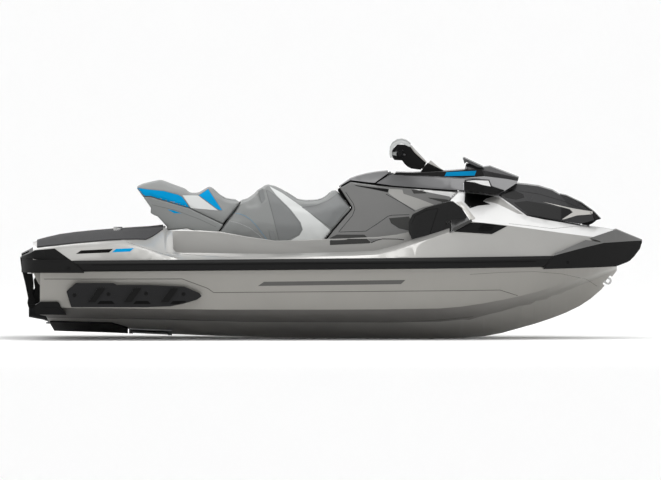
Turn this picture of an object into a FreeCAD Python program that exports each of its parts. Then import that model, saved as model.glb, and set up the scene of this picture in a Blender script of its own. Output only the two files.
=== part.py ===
import FreeCAD, Part

import os

import Sketcher

# A three-seat personal watercraft: a V hull driven by a water jet, a stepped seat, a hood
# that tilts forward with the handlebar on it, and a swim platform with a boarding ladder.
# Millimetres. +X points to the bow, +Y to port, +Z up. The origin lies on the centre
# plane at mid-length, at the level of the water when the craft floats at rest.

doc = FreeCAD.newDocument("watercraft")
sheet = doc.addObject("Spreadsheet::Sheet", "Sizes")

# Driving dimensions, each with the name that the rest of the model uses.
SIZES = {
    # whole craft
    "overall_length": 3450,
    "beam": 1255,
    "top_height": 817,
    "draft": 285,
    # clearances and shared thicknesses
    "seat_gap": 0.3,
    "join_lift": 1.4,
    "run_gap": 0.1,
    "panel_gap": 5.5,
    "cushion_gap": 6,
    "overrun": 20,
    "skin": 4,
    # rails, bumpers and sponsons
    "rail_proud": 27,
    "rail_height": 61.5,
    "stern_proud": 32,
    "sponson_proud": 15,
    # engine bay and engine
    "bay_half_width": 205,
    "bay_depth": 185,
    "bay_height": 205,
    "engine_half_width": 180,
    "engine_height": 360,
    "engine_mount_gap": 20,
    # mats, ride plate and intake grate
    "mat_thickness": 7,
    "plate_thickness": 8,
    "grate_bar": 9,
    # jet pump
    "tunnel_length": 320,
    "tunnel_half_width": 125,
    "tunnel_height": 146,
    "pump_bore": 80,
    "pump_wall": 10,
    "flange_proud": 15,
    "ring_length": 130,
    "cone_length": 120,
    "outlet_bore": 44,
    "outlet_wall": 5,
    "ball_radius": 55,
    "ball_setback": 22,
    "duct_half_width": 75,
    # steering nozzle and its pivots
    "nozzle_wall": 8,
    "nozzle_reach": 110,
    "nozzle_bore": 38,
    "pivot_radius": 6,
    "ear_half_width": 14,
    "ear_thickness": 9,
    # impeller, stator and shaft
    "impeller_radius": 74,
    "impeller_hub": 30,
    "impeller_length": 80,
    "blade_thickness": 4.5,
    "vane_thickness": 5,
    "stator_hub": 30,
    "shaft_radius": 14,
    # reverse bucket
    "bucket_radius": 127,
    "bucket_wall": 8,
    "bucket_half_width": 100,
    "bracket_reach": 90,
    "bracket_height": 25,
    # handlebar
    "grip_radius": 17.5,
    "grip_length": 130,
    "flange_radius": 24,
    "flange_thickness": 6,
    "bar_radius": 11,
    "bar_half_length": 345,
    "neck_half_width": 33,
    "neck_rise": 31,
    "neck_drop": 24,
    "cover_thickness": 8,
    "spindle_radius": 15,
    "spindle_length": 60,
    "palm_rest_inset": 12,
    # hinges of the hood and the glovebox
    "hinge_pin": 6,
    "hinge_eye": 13,
    "hinge_half_width": 20,
    "hinge_pocket": 27,
    "lid_pin": 3.5,
    "lid_barrel": 7,
    "lid_knuckle": 45,
    "lid_wall": 8,
    # boarding ladder
    "ladder_half_width": 150,
    "ladder_arm": 22,
    "ladder_pin": 7,
    # eyes and cargo anchors
    "eye_bore": 10,
    "eye_radius": 20,
    "eye_thickness": 10,
    "eye_recess": 32,
    "tow_eye_spread": 230,
    "anchor_bore": 16,
    "anchor_radius": 25,
    "anchor_depth": 6,
    "anchor_spread": 190,
    # storage bin and seat strap
    "bin_wall": 6,
    "strap_thickness": 3,
}

for row, (alias, number) in enumerate(SIZES.items(), start=1):
    sheet.set(f"A{row}", alias)
    sheet.set(f"B{row}", str(number))
    sheet.setAlias(f"B{row}", alias)
doc.recompute()


class Size:
    """A length worked out from the sheet: its value now, and the expression that binds it."""

    def __init__(self, value, text):
        self.value = value
        self.text = text

    def __add__(self, other):
        return Size(self.value + other.value, f"({self.text} + {other.text})")

    def __sub__(self, other):
        return Size(self.value - other.value, f"({self.text} - {other.text})")

    def __mul__(self, share):
        return Size(self.value * share, f"({self.text} * {share:.9f})")

    def __neg__(self):
        return self * -1


class Sizes:
    """Reads a named size from the sheet as a bound length."""

    def __getattr__(self, alias):
        return Size(float(sheet.get(alias)), f"Sizes.{alias}")


size = Sizes()
ZERO = size.beam * 0

# Shares and multiples that lengths are scaled by.
HALF = 0.5
THREE_QUARTERS = 0.75
TWICE = 2
THRICE = 3
FOURFOLD = 4
SIXFOLD = 6
LONGER = 1.5
WIDER = 1.1
THROUGH = 1.2
SKIN_SHARE = 0.9
VOID_SHARE = 0.88
CHORD_SHARE = 1.15
LUG_SHARE = 0.6
RIB_SHARE = 0.3
FULL_TURN_DEG = 360
MM3_PER_LITRE = 1e6
PLACES = 3

# The side elevation that the outlines below are drawn on is in pixels of the reference
# picture: columns run to the bow and rows run down.
MIDSHIP_PX = 330.5
LENGTH_PX = 623.0
WATERLINE_PX = 287.0
TOP_PX = 147.5
DRAFT_PX = 51.5

half_hull = size.beam * HALF - size.rail_proud


def along(px):
    """Place along the hull of a column of the side elevation."""
    return size.overall_length * ((px - MIDSHIP_PX) / LENGTH_PX)


def up(py):
    """Height of a row of the side elevation, above or below the water."""
    if py <= WATERLINE_PX:
        return size.top_height * ((WATERLINE_PX - py) / TOP_PX)
    return size.draft * ((WATERLINE_PX - py) / DRAFT_PX)


def out(share):
    """Distance from the centre plane as a share of the hull's half beam."""
    return half_hull * share


def elevation(pixels):
    """An outline on the side elevation as lengths."""
    return [(along(px), up(py)) for px, py in pixels]


def moved(points, right, rise):
    """The same outline moved along the two directions of its plane."""
    return [(a + right, b + rise) for a, b in points]


def row_on(line, px):
    """Row where a line of the side elevation, listed from aft to forward, passes a column."""
    for (px_1, py_1), (px_2, py_2) in zip(line, line[1:]):
        if px_1 <= px <= px_2:
            return py_1 + (py_2 - py_1) * (px - px_1) / (px_2 - px_1)
    raise ValueError(f"the line doesn't reach column {px}")


def slopes(places, values):
    """Slope at each place of a curve through the values that never overshoots them."""
    rises = [(values[i + 1] - values[i]) / (places[i + 1] - places[i]) for i in range(len(places) - 1)]
    inner = [0 if a * b <= 0 else 2 * a * b / (a + b) for a, b in zip(rises, rises[1:])]
    return [rises[0]] + inner + [rises[-1]]


def fair(rows, steps):
    """The rows of a table of stations, with more rows between them on smooth curves."""
    places = [row[0] for row in rows]
    columns = list(zip(*rows))[1:]
    tangents = [slopes(places, column) for column in columns]
    result = []
    for i in range(len(rows) - 1):
        span = places[i + 1] - places[i]
        for step in range(steps):
            t = step / steps
            weights = (2 * t**3 - 3 * t**2 + 1, (t**3 - 2 * t**2 + t) * span, 3 * t**2 - 2 * t**3,
                       (t**3 - t**2) * span)
            row = [places[i] + t * span]
            for column, slope in zip(columns, tangents):
                knots = (column[i], slope[i], column[i + 1], slope[i + 1])
                row.append(sum(w * k for w, k in zip(weights, knots)))
            result.append(tuple(row))
    return result + [rows[-1]]


def pairs(values):
    """The (share, row) pairs of a flat row as lengths out from the centre plane and up."""
    return [(out(share), up(py)) for share, py in zip(values[0::2], values[1::2])]


def symmetric(half):
    """The whole of a section, from its half on the port side, listed from bottom to top."""
    other = [(-a, b) for a, b in reversed(half) if abs(a.value) > 0]
    return half + other


# Sketches and solids.

PLANES = {"side": "XZ_Plane", "plan": "XY_Plane", "section": "YZ_Plane"}
FORWARD = FreeCAD.Vector(1, 0, 0)
AFT = FreeCAD.Vector(-1, 0, 0)
PORT = FreeCAD.Vector(0, 1, 0)
UPWARD = FreeCAD.Vector(0, 0, 1)
NODES = []


def node(solid, label):
    """Names a finished sub-part."""
    solid.Label = label
    NODES.append(solid)
    return solid


def new_body(label):
    body = doc.addObject("PartDesign::Body", label)
    body.Label = label
    return body


def place_sketch(body, plane, offset):
    """An empty sketch on one of the body's own planes, offset along that plane's normal."""
    role = PLANES[plane]
    base = next(f for f in body.Origin.OriginFeatures if f.Role == role)
    sketch = body.newObject("Sketcher::SketchObject", f"{body.Name}_{plane}")
    sketch.AttachmentSupport = (base, [""])
    sketch.MapMode = "FlatFace"
    sketch.setExpression("AttachmentOffset.Base.z", offset.text)
    return sketch


def draw_outline(sketch, points):
    """Adds one closed outline of straight edges whose corners are bound to sizes."""
    first = sketch.GeometryCount
    corners = [FreeCAD.Vector(a.value, b.value, 0) for a, b in points]
    count = len(points)
    edges = [Part.LineSegment(corners[i], corners[(i + 1) % count]) for i in range(count)]
    sketch.addGeometry(edges, False)
    start = sketch.ConstraintCount
    rules = []
    for i in range(count):
        rules.append(Sketcher.Constraint("Coincident", first + i, 2, first + (i + 1) % count, 1))
    for i, corner in enumerate(corners):
        rules.append(Sketcher.Constraint("DistanceX", -1, 1, first + i, 1, corner.x))
        rules.append(Sketcher.Constraint("DistanceY", -1, 1, first + i, 1, corner.y))
    sketch.addConstraint(rules)
    for i, (a, b) in enumerate(points):
        sketch.setExpression(f"Constraints[{start + count + 2 * i}]", a.text)
        sketch.setExpression(f"Constraints[{start + count + 2 * i + 1}]", b.text)


def slab(label, plane, outlines, low, high):
    """A body padded from one outline, or several, between two levels across the plane."""
    body = new_body(label)
    start = -high if plane == "side" else low
    sketch = place_sketch(body, plane, start)
    for points in outlines:
        draw_outline(sketch, points)
    pad = body.newObject("PartDesign::Pad", f"{label}_pad")
    pad.Profile = sketch
    pad.setExpression("Length", (high - low).text)
    body.Tip = pad
    return body


def side_slab(label, points, half_width):
    """A slab across the centre plane, from an outline on the side elevation."""
    return slab(label, "side", [points], -half_width, half_width)


def starboard_slab(label, points, inner, outer):
    """A slab on the starboard side, between two distances from the centre plane."""
    return slab(label, "side", [points], -outer, -inner)


def loft(label, stations):
    """A body lofted along the hull through (place, outline) stations."""
    body = new_body(label)
    profiles = []
    for place, points in stations:
        sketch = place_sketch(body, "section", place)
        draw_outline(sketch, points)
        profiles.append((sketch, [""]))
    feature = body.newObject("PartDesign::AdditiveLoft", f"{label}_loft")
    feature.Profile = profiles[0]
    feature.Sections = profiles[1:]
    feature.Ruled = True
    body.Tip = feature
    return body


def mould(label, rows, steps):
    """A symmetric loft from rows of a column and (share, row) pairs, bottom to top."""
    return loft(label, [(along(row[0]), symmetric(pairs(row[1:]))) for row in fair(rows, steps)])


def primitive(kind, label, lengths, base, turn):
    """A Part primitive with bound lengths, turned about its base point."""
    solid = doc.addObject(kind, label)
    for name, length in lengths.items():
        solid.setExpression(name, length.text)
    solid.Placement = FreeCAD.Placement(FreeCAD.Vector(), turn)
    for key, bound in zip("xyz", base):
        solid.setExpression(f"Placement.Base.{key}", bound.text)
    return solid


def towards(axis):
    """The turn that points a primitive's own axis along another."""
    return FreeCAD.Rotation(UPWARD, axis)


def cylinder(label, radius, length, base, axis):
    lengths = {"Radius": radius, "Height": length}
    return primitive("Part::Cylinder", label, lengths, base, towards(axis))


def cone(label, radius_1, radius_2, length, base, axis):
    lengths = {"Radius1": radius_1, "Radius2": radius_2, "Height": length}
    return primitive("Part::Cone", label, lengths, base, towards(axis))


def ball(label, radius, centre):
    return primitive("Part::Sphere", label, {"Radius": radius}, centre, FreeCAD.Rotation())


def block(label, low, high):
    """A box between two corners."""
    lengths = {name: b - a for name, a, b in zip(("Length", "Width", "Height"), low, high)}
    return primitive("Part::Box", label, lengths, low, FreeCAD.Rotation())


def fuse(label, *pieces):
    result = doc.addObject("Part::MultiFuse", label)
    result.Shapes = list(pieces)
    return result


def cut(label, base, *tools):
    """The base less every tool."""
    result = doc.addObject("Part::Cut", label)
    result.Base = base
    result.Tool = tools[0] if len(tools) == 1 else fuse(f"{label}_tools", *tools)
    return result


def common(label, base, tool):
    result = doc.addObject("Part::Common", label)
    result.Base = base
    result.Tool = tool
    return result


def shifted(label, source, key, distance):
    """A copy of a solid moved along one axis."""
    copy = doc.addObject("Part::Compound", label)
    copy.Links = [source]
    copy.setExpression(f"Placement.Base.{key}", distance.text)
    return copy


def mirrored(label, source):
    """The same solid on the other side of the centre plane."""
    copy = doc.addObject("Part::Mirroring", label)
    copy.Source = source
    copy.Normal = PORT
    return copy


def pair(label, source):
    """A starboard solid and its mirror image to port."""
    both = doc.addObject("Part::Compound", label)
    both.Links = [source, mirrored(f"{label}_port", source)]
    return both


# Hull. Rows: column, keel row, strake share and row, strake edge share and row,
# chine share and row, share at the bond line.
HULL_PX_AND_SHARES = [
    (40, 329.0, 0.50, 316.5, 0.56, 316.0, 0.885, 305.5, 0.935),
    (110, 331.2, 0.525, 317.5, 0.585, 317.0, 0.915, 306.0, 0.98),
    (220, 336.0, 0.54, 320.0, 0.60, 319.5, 0.93, 307.5, 1.0),
    (330, 338.0, 0.54, 321.0, 0.60, 320.5, 0.915, 307.5, 1.0),
    (440, 338.5, 0.51, 320.5, 0.565, 320.0, 0.845, 306.5, 0.955),
    (484, 336.4, 0.45, 314.5, 0.50, 314.0, 0.76, 301.5, 0.89),
    (520, 328.2, 0.36, 305.0, 0.40, 304.5, 0.66, 294.5, 0.80),
    (552, 318.3, 0.265, 295.0, 0.30, 294.5, 0.54, 286.0, 0.68),
    (580, 306.0, 0.18, 284.5, 0.205, 284.0, 0.42, 277.5, 0.545),
    (601, 290.0, 0.11, 276.5, 0.13, 276.0, 0.31, 271.5, 0.41),
    (617, 270.5, 0.05, 268.5, 0.06, 268.2, 0.20, 266.8, 0.27),
]
BOND_PX = (40.0, 269.5)
BOND_RISE_SHARE = 0.0085


def bond_row(px):
    """Row of the line where hull and deck are bonded: straight, and rising to the bow."""
    return BOND_PX[1] - (px - BOND_PX[0]) * BOND_RISE_SHARE


def hull_section(px, keel, *values):
    half = [(ZERO, up(keel))] + pairs(values[:-1]) + [(out(values[-1]), up(bond_row(px)))]
    return symmetric(half)


HULL_STEPS = 2
hull_mould = loft("hull_mould", [
    (along(row[0]), hull_section(*row)) for row in fair(HULL_PX_AND_SHARES, HULL_STEPS)])

# The deck's belly hangs in a pocket of the hull and holds the footwells.
BELLY_PLAN_PX_AND_SHARES = [(123, 0.86), (180, 0.905), (375, 0.905), (450, 0.80), (471, 0.72)]
BELLY_FLOOR_PX = 291.5
BELLY_TOP_PX = 262
POCKET_TOP_PX = 250


def plan_outline(pixels_and_shares, inset):
    """A closed outline seen from above, symmetric about the centre plane."""
    port = [(along(px), out(share) - inset) for px, share in pixels_and_shares]
    return port + [(a, -b) for a, b in reversed(port)]


belly_floor = up(BELLY_FLOOR_PX)
hull_pocket = slab("hull_pocket", "plan", [plan_outline(BELLY_PLAN_PX_AND_SHARES, ZERO)],
                   belly_floor, up(POCKET_TOP_PX))
deck_belly = slab("deck_belly", "plan", [plan_outline(BELLY_PLAN_PX_AND_SHARES, size.panel_gap)],
                  belly_floor + size.seat_gap, up(BELLY_TOP_PX))

BAY_AFT_PX = 213
BAY_FRONT_PX = 347
bay_aft = along(BAY_AFT_PX)
bay_front = along(BAY_FRONT_PX)
engine_bay = block("engine_bay", (bay_aft, -size.bay_half_width, -size.bay_depth),
                   (bay_front, size.bay_half_width, size.bay_height))

# The recess at the stern that holds the jet pump, and the water intake ahead of it.
TRANSOM_PX = 40
PUMP_AXIS_PX = 308.7
transom_x = along(TRANSOM_PX)
pump_z = up(PUMP_AXIS_PX)
flange_x = transom_x + size.tunnel_length
tunnel = block("tunnel", (transom_x - size.overrun, -size.tunnel_half_width, -size.draft),
               (flange_x, size.tunnel_half_width, pump_z + size.tunnel_height))
INTAKE_PX = [(157, 345), (150, 318), (120, 296.5), (97, 294.2), (97, 323.3), (103, 323.3), (118, 345)]
intake_duct = side_slab("intake_duct", elevation(INTAKE_PX), size.duct_half_width)
shaft_tunnel = cylinder("shaft_tunnel", size.shaft_radius + size.panel_gap,
                        bay_aft - flange_x + size.overrun,
                        (flange_x, ZERO, pump_z), FORWARD)
RAKE_PX = [(30, 312.4), (36.5, 312.4), (46, 315), (54, 330.5), (54, 345), (30, 345)]
rake_tool = side_slab("rake_tool", elevation(RAKE_PX), size.beam)

# The bow eye stands in a recess of the stem.
BOW_EYE_PX = (608, 281)
eye_x = along(BOW_EYE_PX[0])
eye_z = up(BOW_EYE_PX[1])
eye_recess = cylinder("eye_recess", size.eye_recess, size.eye_recess * LONGER,
                      (eye_x, size.eye_recess * -THREE_QUARTERS, eye_z), PORT)
hull = node(cut("hull", hull_mould, hull_pocket, engine_bay, tunnel, intake_duct, shaft_tunnel, rake_tool,
                eye_recess), "hull")

bow_eye_plate = cylinder("bow_eye_plate", size.eye_radius, size.eye_thickness,
                         (eye_x, size.eye_thickness * -HALF, eye_z), PORT)
bow_eye_neck = block("bow_eye_neck", (eye_x - size.eye_recess, size.eye_thickness * -HALF,
                                      eye_z - size.eye_bore),
                     (eye_x, size.eye_thickness * HALF, eye_z + size.eye_bore))
bow_eye_bore = cylinder("bow_eye_bore", size.eye_bore, size.eye_thickness * TWICE,
                        (eye_x, -size.eye_thickness, eye_z), PORT)
bow_eye_foot = cylinder("bow_eye_foot", size.eye_recess, size.eye_thickness,
                        (eye_x, size.eye_thickness * -HALF, eye_z), PORT)
node(cut("bow_eye", fuse("bow_eye_solid", bow_eye_plate, common("bow_eye_stem", bow_eye_neck, bow_eye_foot)),
         bow_eye_bore), "bow_eye")

# Deck. Rows: column, share at the bond line, then shares of it and rows for the deck's
# outer edge, inner edge and crown shoulder, and the row of the crown.
DECK_PX_AND_SHARES = [
    (33, 0.895, 0.86, 250.0, 0.80, 247.0, 0.50, 243.3, 242.0),
    (60, 0.95, 0.92, 246.5, 0.86, 243.8, 0.50, 237.0, 235.2),
    (90, 0.97, 0.945, 244.7, 0.88, 241.5, 0.50, 233.6, 231.6),
    (122, 0.985, 0.96, 242.5, 0.89, 239.7, 0.50, 231.0, 229.0),
    (150, 0.99, 0.97, 249.0, 0.90, 245.5, 0.48, 229.0, 227.2),
    (180, 0.995, 0.975, 256.2, 0.90, 254.6, 0.46, 226.0, 224.5),
    (220, 1.0, 0.975, 256.0, 0.90, 254.8, 0.46, 228.0, 226.0),
    (275, 1.0, 0.975, 255.0, 0.90, 253.8, 0.46, 238.0, 236.0),
    (330, 1.0, 0.975, 254.0, 0.90, 252.8, 0.46, 236.0, 234.0),
    (378, 0.99, 0.972, 252.3, 0.90, 250.3, 0.46, 234.0, 232.0),
    (415, 0.972, 0.965, 241.3, 0.89, 239.0, 0.46, 228.0, 226.0),
    (450, 0.945, 0.95, 229.5, 0.86, 226.5, 0.46, 216.0, 214.0),
    (480, 0.898, 0.94, 217.0, 0.82, 214.0, 0.46, 210.0, 208.0),
    (520, 0.80, 0.93, 220.5, 0.82, 217.0, 0.46, 214.0, 212.0),
    (560, 0.645, 0.93, 227.0, 0.82, 223.5, 0.46, 220.0, 218.0),
    (590, 0.485, 0.93, 231.5, 0.82, 228.5, 0.46, 226.0, 225.0),
    (613, 0.30, 0.93, 236.0, 0.82, 233.5, 0.46, 232.0, 231.0),
]


def deck_section(px, side, *values):
    bond = up(bond_row(px))
    upper = [(out(side * share), up(py)) for share, py in zip(values[:-1:2], values[1:-1:2])]
    half = [(out(side), bond), (out(side), bond + size.rail_height)] + upper + [(ZERO, up(values[-1]))]
    return symmetric(half)


DECK_STEPS = 2
deck_mould = loft("deck_mould", [
    (along(row[0]), deck_section(*row)) for row in fair(DECK_PX_AND_SHARES, DECK_STEPS)])
SEAT_BED_PX = [(165.6, 229.4), (187, 227.4), (243, 245.2), (318, 242.5), (412, 241.5), (440, 229.2),
               (450.2, 229.2)]
COWL_BED_PX = [(449.5, 231.1), (470, 219.3), (507, 223.5), (593, 236.1), (625, 241.0)]
BED_TOP_PX = 190
SEAT_BED_SHARE = 0.5
seat_bed = side_slab("seat_bed", elevation(
    SEAT_BED_PX + [(SEAT_BED_PX[-1][0], BED_TOP_PX), (SEAT_BED_PX[0][0], BED_TOP_PX)]), out(SEAT_BED_SHARE))
cowl_bed = side_slab("cowl_bed", elevation(
    COWL_BED_PX + [(COWL_BED_PX[-1][0], BED_TOP_PX), (COWL_BED_PX[0][0], BED_TOP_PX)]), size.beam)

# Footwells: an outline seen from above, drafted towards the floor, under a side outline
# whose ends ramp up to the platform and to the speakers.
WELL_TOP_PX_AND_SHARES = [(170, 0.50), (170, 0.855), (375, 0.855), (447, 0.74), (447, 0.50)]
WELL_FLOOR_PX_AND_SHARES = [(176, 0.53), (176, 0.825), (373, 0.825), (441, 0.715), (441, 0.53)]
WELL_SIDE_PX = [(160, 190), (160, 236), (172, 246), (206, 286.3), (424, 286.3), (441, 268), (447, 236),
                (447, 190)]
WELL_LEVELS_PX = (BELLY_FLOOR_PX, BED_TOP_PX)


def footwell():
    """The starboard footwell as the solid that is cut from the deck."""
    body = new_body("footwell_plan")
    profiles = []
    for outline, row_px in zip((WELL_FLOOR_PX_AND_SHARES, WELL_TOP_PX_AND_SHARES), WELL_LEVELS_PX):
        sketch = place_sketch(body, "plan", up(row_px))
        draw_outline(sketch, [(along(px), -out(share)) for px, share in outline])
        profiles.append((sketch, [""]))
    feature = body.newObject("PartDesign::AdditiveLoft", "footwell_loft")
    feature.Profile = profiles[0]
    feature.Sections = profiles[1:]
    body.Tip = feature
    return common("footwell", body, side_slab("footwell_side", elevation(WELL_SIDE_PX), size.beam))


starboard_well = footwell()
port_well = mirrored("port_well", starboard_well)

# The storage bin under the hood, and its opening through the cowl into the deck.
BIN_PX = (463, 556)
BIN_ROWS_PX = (263, 222)
BIN_SHARE = 0.33
bin_low = (along(BIN_PX[0]), -out(BIN_SHARE), up(BIN_ROWS_PX[0]))
bin_high = (along(BIN_PX[1]), out(BIN_SHARE), up(BIN_ROWS_PX[1]))
wall = size.bin_wall
fit = size.bin_wall + size.seat_gap
bin_hole = block("bin_hole", [low - fit for low in bin_low],
                 (bin_high[0] + fit, bin_high[1] + fit, up(BED_TOP_PX)))
bin_outer = block("bin_outer", [low - wall for low in bin_low],
                  (bin_high[0] + wall, bin_high[1] + wall, bin_high[2]))
bin_inner = block("bin_inner", bin_low, (bin_high[0], bin_high[1], bin_high[2] + size.overrun))
node(cut("storage_bin", bin_outer, bin_inner), "storage_bin")

deck_solid = fuse("deck_solid", deck_mould, deck_belly)
deck = node(cut("deck", deck_solid, seat_bed, cowl_bed, starboard_well, port_well, engine_bay, bin_hole),
            "deck")
craft_mould = fuse("craft_mould", hull_mould, deck_mould)

# Engine: one plain block on the bay's floor.
node(block("engine_block",
           (bay_aft + size.engine_mount_gap, -size.engine_half_width, -size.bay_depth),
           (bay_front - size.engine_mount_gap, size.engine_half_width, size.engine_height - size.bay_depth)),
     "engine")

# Front cowl: the pale shell between the deck's crease and the hood.
# Rows: column, then share and row of its foot, shoulder and lip.
COWL_PX_AND_SHARES = [
    (446, 0.917, 233.0, 0.66, 206.0, 0.36, 190.2),
    (470, 0.917, 223.0, 0.65, 204.0, 0.385, 191.2),
    (499, 0.85, 226.0, 0.62, 208.5, 0.41, 194.8),
    (527, 0.785, 230.0, 0.61, 219.5, 0.48, 214.6),
    (561, 0.667, 235.0, 0.50, 226.0, 0.40, 221.2),
    (581, 0.577, 238.0, 0.40, 229.5, 0.30, 225.0),
    (600, 0.456, 241.0, 0.28, 232.5, 0.17, 227.5),
    (613, 0.338, 243.0, 0.19, 234.5, 0.10, 229.5),
]
COWL_STEPS = 2
COWL_CUT_PX = [(625, 260), (440, 260), (440, 231.1)]
COWL_HEEL_PX = [(440, 235), (440, 180)]
CONSOLE_FRONT_PX = [(458.5, 180), (458.5, 190.4), (449.6, 198.9), (450.4, 212), (450.4, 235)]
cowl_mould = mould("cowl_mould", COWL_PX_AND_SHARES, COWL_STEPS)
cowl_under = side_slab("cowl_under", moved(elevation(COWL_BED_PX), ZERO, size.seat_gap) + elevation(
    COWL_CUT_PX), size.beam)
cowl_heel = side_slab("cowl_heel", moved(elevation(CONSOLE_FRONT_PX), size.panel_gap, ZERO) + elevation(
    COWL_HEEL_PX), size.beam)
front_cowl = node(cut("front_cowl", cowl_mould, cowl_under, cowl_heel, bin_hole), "front_cowl")

# Bow bumper, made oversize and cut back by the shells that it wraps. Rows: column, share of
# its reach, rows of its foot, edge and top, and the share of the reach at the top.
BOW_BUMPER_PX_AND_SHARES = [
    (541, 0.72, 267.3, 257.5, 256.6, 0.985),
    (560, 0.645, 267.0, 252.3, 249.6, 0.975),
    (580, 0.545, 266.6, 247.2, 241.3, 0.93),
    (593, 0.465, 266.3, 244.2, 235.9, 0.88),
    (604, 0.39, 266.0, 241.8, 232.4, 0.80),
    (616, 0.305, 265.6, 241.2, 229.1, 0.62),
    (629, 0.20, 261.0, 240.6, 234.4, 0.62),
    (642, 0.09, 248.5, 240.1, 239.6, 0.75),
]
BOW_END_PX = [(543, 270), (543, 267.5), (555, 252.2), (563, 230)]
BOW_CHIN_PX = [(660, 240), (642.5, 240.5), (640, 248.5), (631.5, 259.3), (618.2, 266.2), (618, 275),
               (660, 275)]
TRIM_LEFT_PX = 530


def bow_bumper_section(share, foot, edge, top, inner):
    reach = out(share) + size.rail_proud
    return symmetric([(reach, up(foot)), (reach, up(edge)), (reach * inner, up(top))])


bow_mould = loft("bow_mould", [(along(row[0]),
                                bow_bumper_section(*row[1:])) for row in BOW_BUMPER_PX_AND_SHARES])
bow_end = side_slab("bow_end", elevation(
    BOW_END_PX + [(TRIM_LEFT_PX, BOW_END_PX[-1][1]), (TRIM_LEFT_PX, BOW_END_PX[0][1])]), size.beam)
bow_chin = side_slab("bow_chin", elevation(BOW_CHIN_PX), size.beam)
bow_bumper = node(cut("bow_bumper", bow_mould, bow_end, bow_chin, craft_mould, cowl_mould), "bow_bumper")

# Stern bumper: a band round the stern, and a narrower step on it up to the platform.
STERN_PLAN_PX_AND_SHARES = [(86, 0.967), (60, 0.95), (45, 0.925), (34, 0.87), (26, 0.78), (21.5, 0.66)]
LADDER_RECESS_PX = (21.5, 29)
STERN_BAND_PX = (270.5, 257.6)
STERN_STEP_PX = (258.0, 240.0)
STERN_END_PX = [(54.6, 246.3), (72.5, 259), (84, 269.2), (84, 272)]
STERN_TOP_PX = [(10, 235), (10, 256.8), (19.5, 256.8), (22, 254.6), (30, 251.0), (34.9, 248.2)]
STERN_CUT_PX = (95, 235)


def stern_plan(inset):
    """The stern's outline from above, with its rounded corners and the ladder's recess."""
    port = [(along(px), out(share) + size.stern_proud - inset) for px, share in STERN_PLAN_PX_AND_SHARES]
    recess = size.ladder_half_width + size.ladder_arm + size.panel_gap
    half = port + [(along(LADDER_RECESS_PX[0]), recess + size.panel_gap),
                   (along(LADDER_RECESS_PX[1]), recess)]
    return half + [(a, -b) for a, b in reversed(half)]


stern_band = slab("stern_band", "plan", [stern_plan(ZERO)], up(STERN_BAND_PX[0]), up(STERN_BAND_PX[1]))
stern_step = slab("stern_step", "plan", [stern_plan(size.rail_proud)], up(STERN_STEP_PX[0]),
                  up(STERN_STEP_PX[1]))
stern_trim = side_slab("stern_trim", elevation(
    STERN_TOP_PX + STERN_END_PX + [(STERN_CUT_PX[0], STERN_END_PX[-1][1]), STERN_CUT_PX]), size.beam)
stern_bumper = node(cut("stern_bumper", fuse("stern_solid", stern_band, stern_step), stern_trim,
                        craft_mould),
                    "stern_bumper")

# Gunwale rail: a section that follows the bond line from bumper to bumper.
RAIL_PX_AND_SHARES = [
    (66, 0.955), (90, 0.97), (122, 0.985), (150, 0.99), (180, 0.995), (220, 1.0), (275, 1.0), (330, 1.0),
    (378, 0.99), (415, 0.972), (450, 0.945), (480, 0.898), (520, 0.80), (562, 0.637)]
RAIL_SHARES = [(0, 0), (0.75, 0), (1, 0.14), (1, 0.72), (0.45, 1), (0, 1)]
RAIL_STEPS = 1


def rail_section(px, share):
    """Outer profile of the rail on the starboard side; its back runs inside the deck."""
    root = out(share)
    foot = up(bond_row(px))
    points = []
    for proud_share, tall_share in RAIL_SHARES:
        reach = root + size.rail_proud * proud_share if proud_share else root - size.overrun
        points.append((-reach, foot + size.rail_height * tall_share))
    return points


rail_mould = loft("rail_mould", [(along(px), rail_section(px, share)) for px, share in RAIL_PX_AND_SHARES])
RAIL_AFT_PX = [(60, 246.3), (72.5, 259), (84, 269.2), (84, 275), (60, 275)]
RAIL_FRONT_PX = [(543, 275), (543, 267.5), (555, 252.2), (563, 230), (570, 230), (570, 275)]
rail_ends = slab("rail_ends", "side", [
    moved(elevation(RAIL_AFT_PX), size.seat_gap, ZERO), moved(elevation(RAIL_FRONT_PX), -size.seat_gap,
                                                              ZERO)],
    -size.beam, size.beam)
node(pair("gunwale_rails", cut("starboard_rail", rail_mould, rail_ends, craft_mould)), "gunwale_rails")

# Sponsons, corner trims and vents stand on the sides of the hull and the deck.
SPONSON_PX = [(66.3, 289), (75.8, 280.6), (113.6, 280.6), (116.6, 282.4), (148.8, 282.4), (184.5, 284.2),
              (199.8, 290.8), (201.6, 293.9), (196.7, 297.4), (182.4, 301.5), (170.2, 303.9), (146.7, 304.8),
              (71.2, 304.8)]
SPONSON_ROOT_SHARE = 0.80
sponson_block = starboard_slab("sponson_block", elevation(SPONSON_PX), out(SPONSON_ROOT_SHARE),
                               half_hull + size.sponson_proud)
node(pair("sponsons", cut("starboard_sponson", sponson_block, hull_mould)), "sponsons")

TRIM_PX = [(35.2, 303), (40.6, 299.6), (57.2, 299.4), (59.2, 300.6), (61, 304.8), (66.4, 312.7),
           (36.5, 312.2),
           (35.2, 310)]
TRIM_SHARES = (0.62, 0.93)
trim_block = starboard_slab("trim_block", elevation(TRIM_PX), out(TRIM_SHARES[0]), out(TRIM_SHARES[1]))
node(pair("corner_trims", cut("starboard_trim", trim_block, hull_mould)), "corner_trims")

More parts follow.
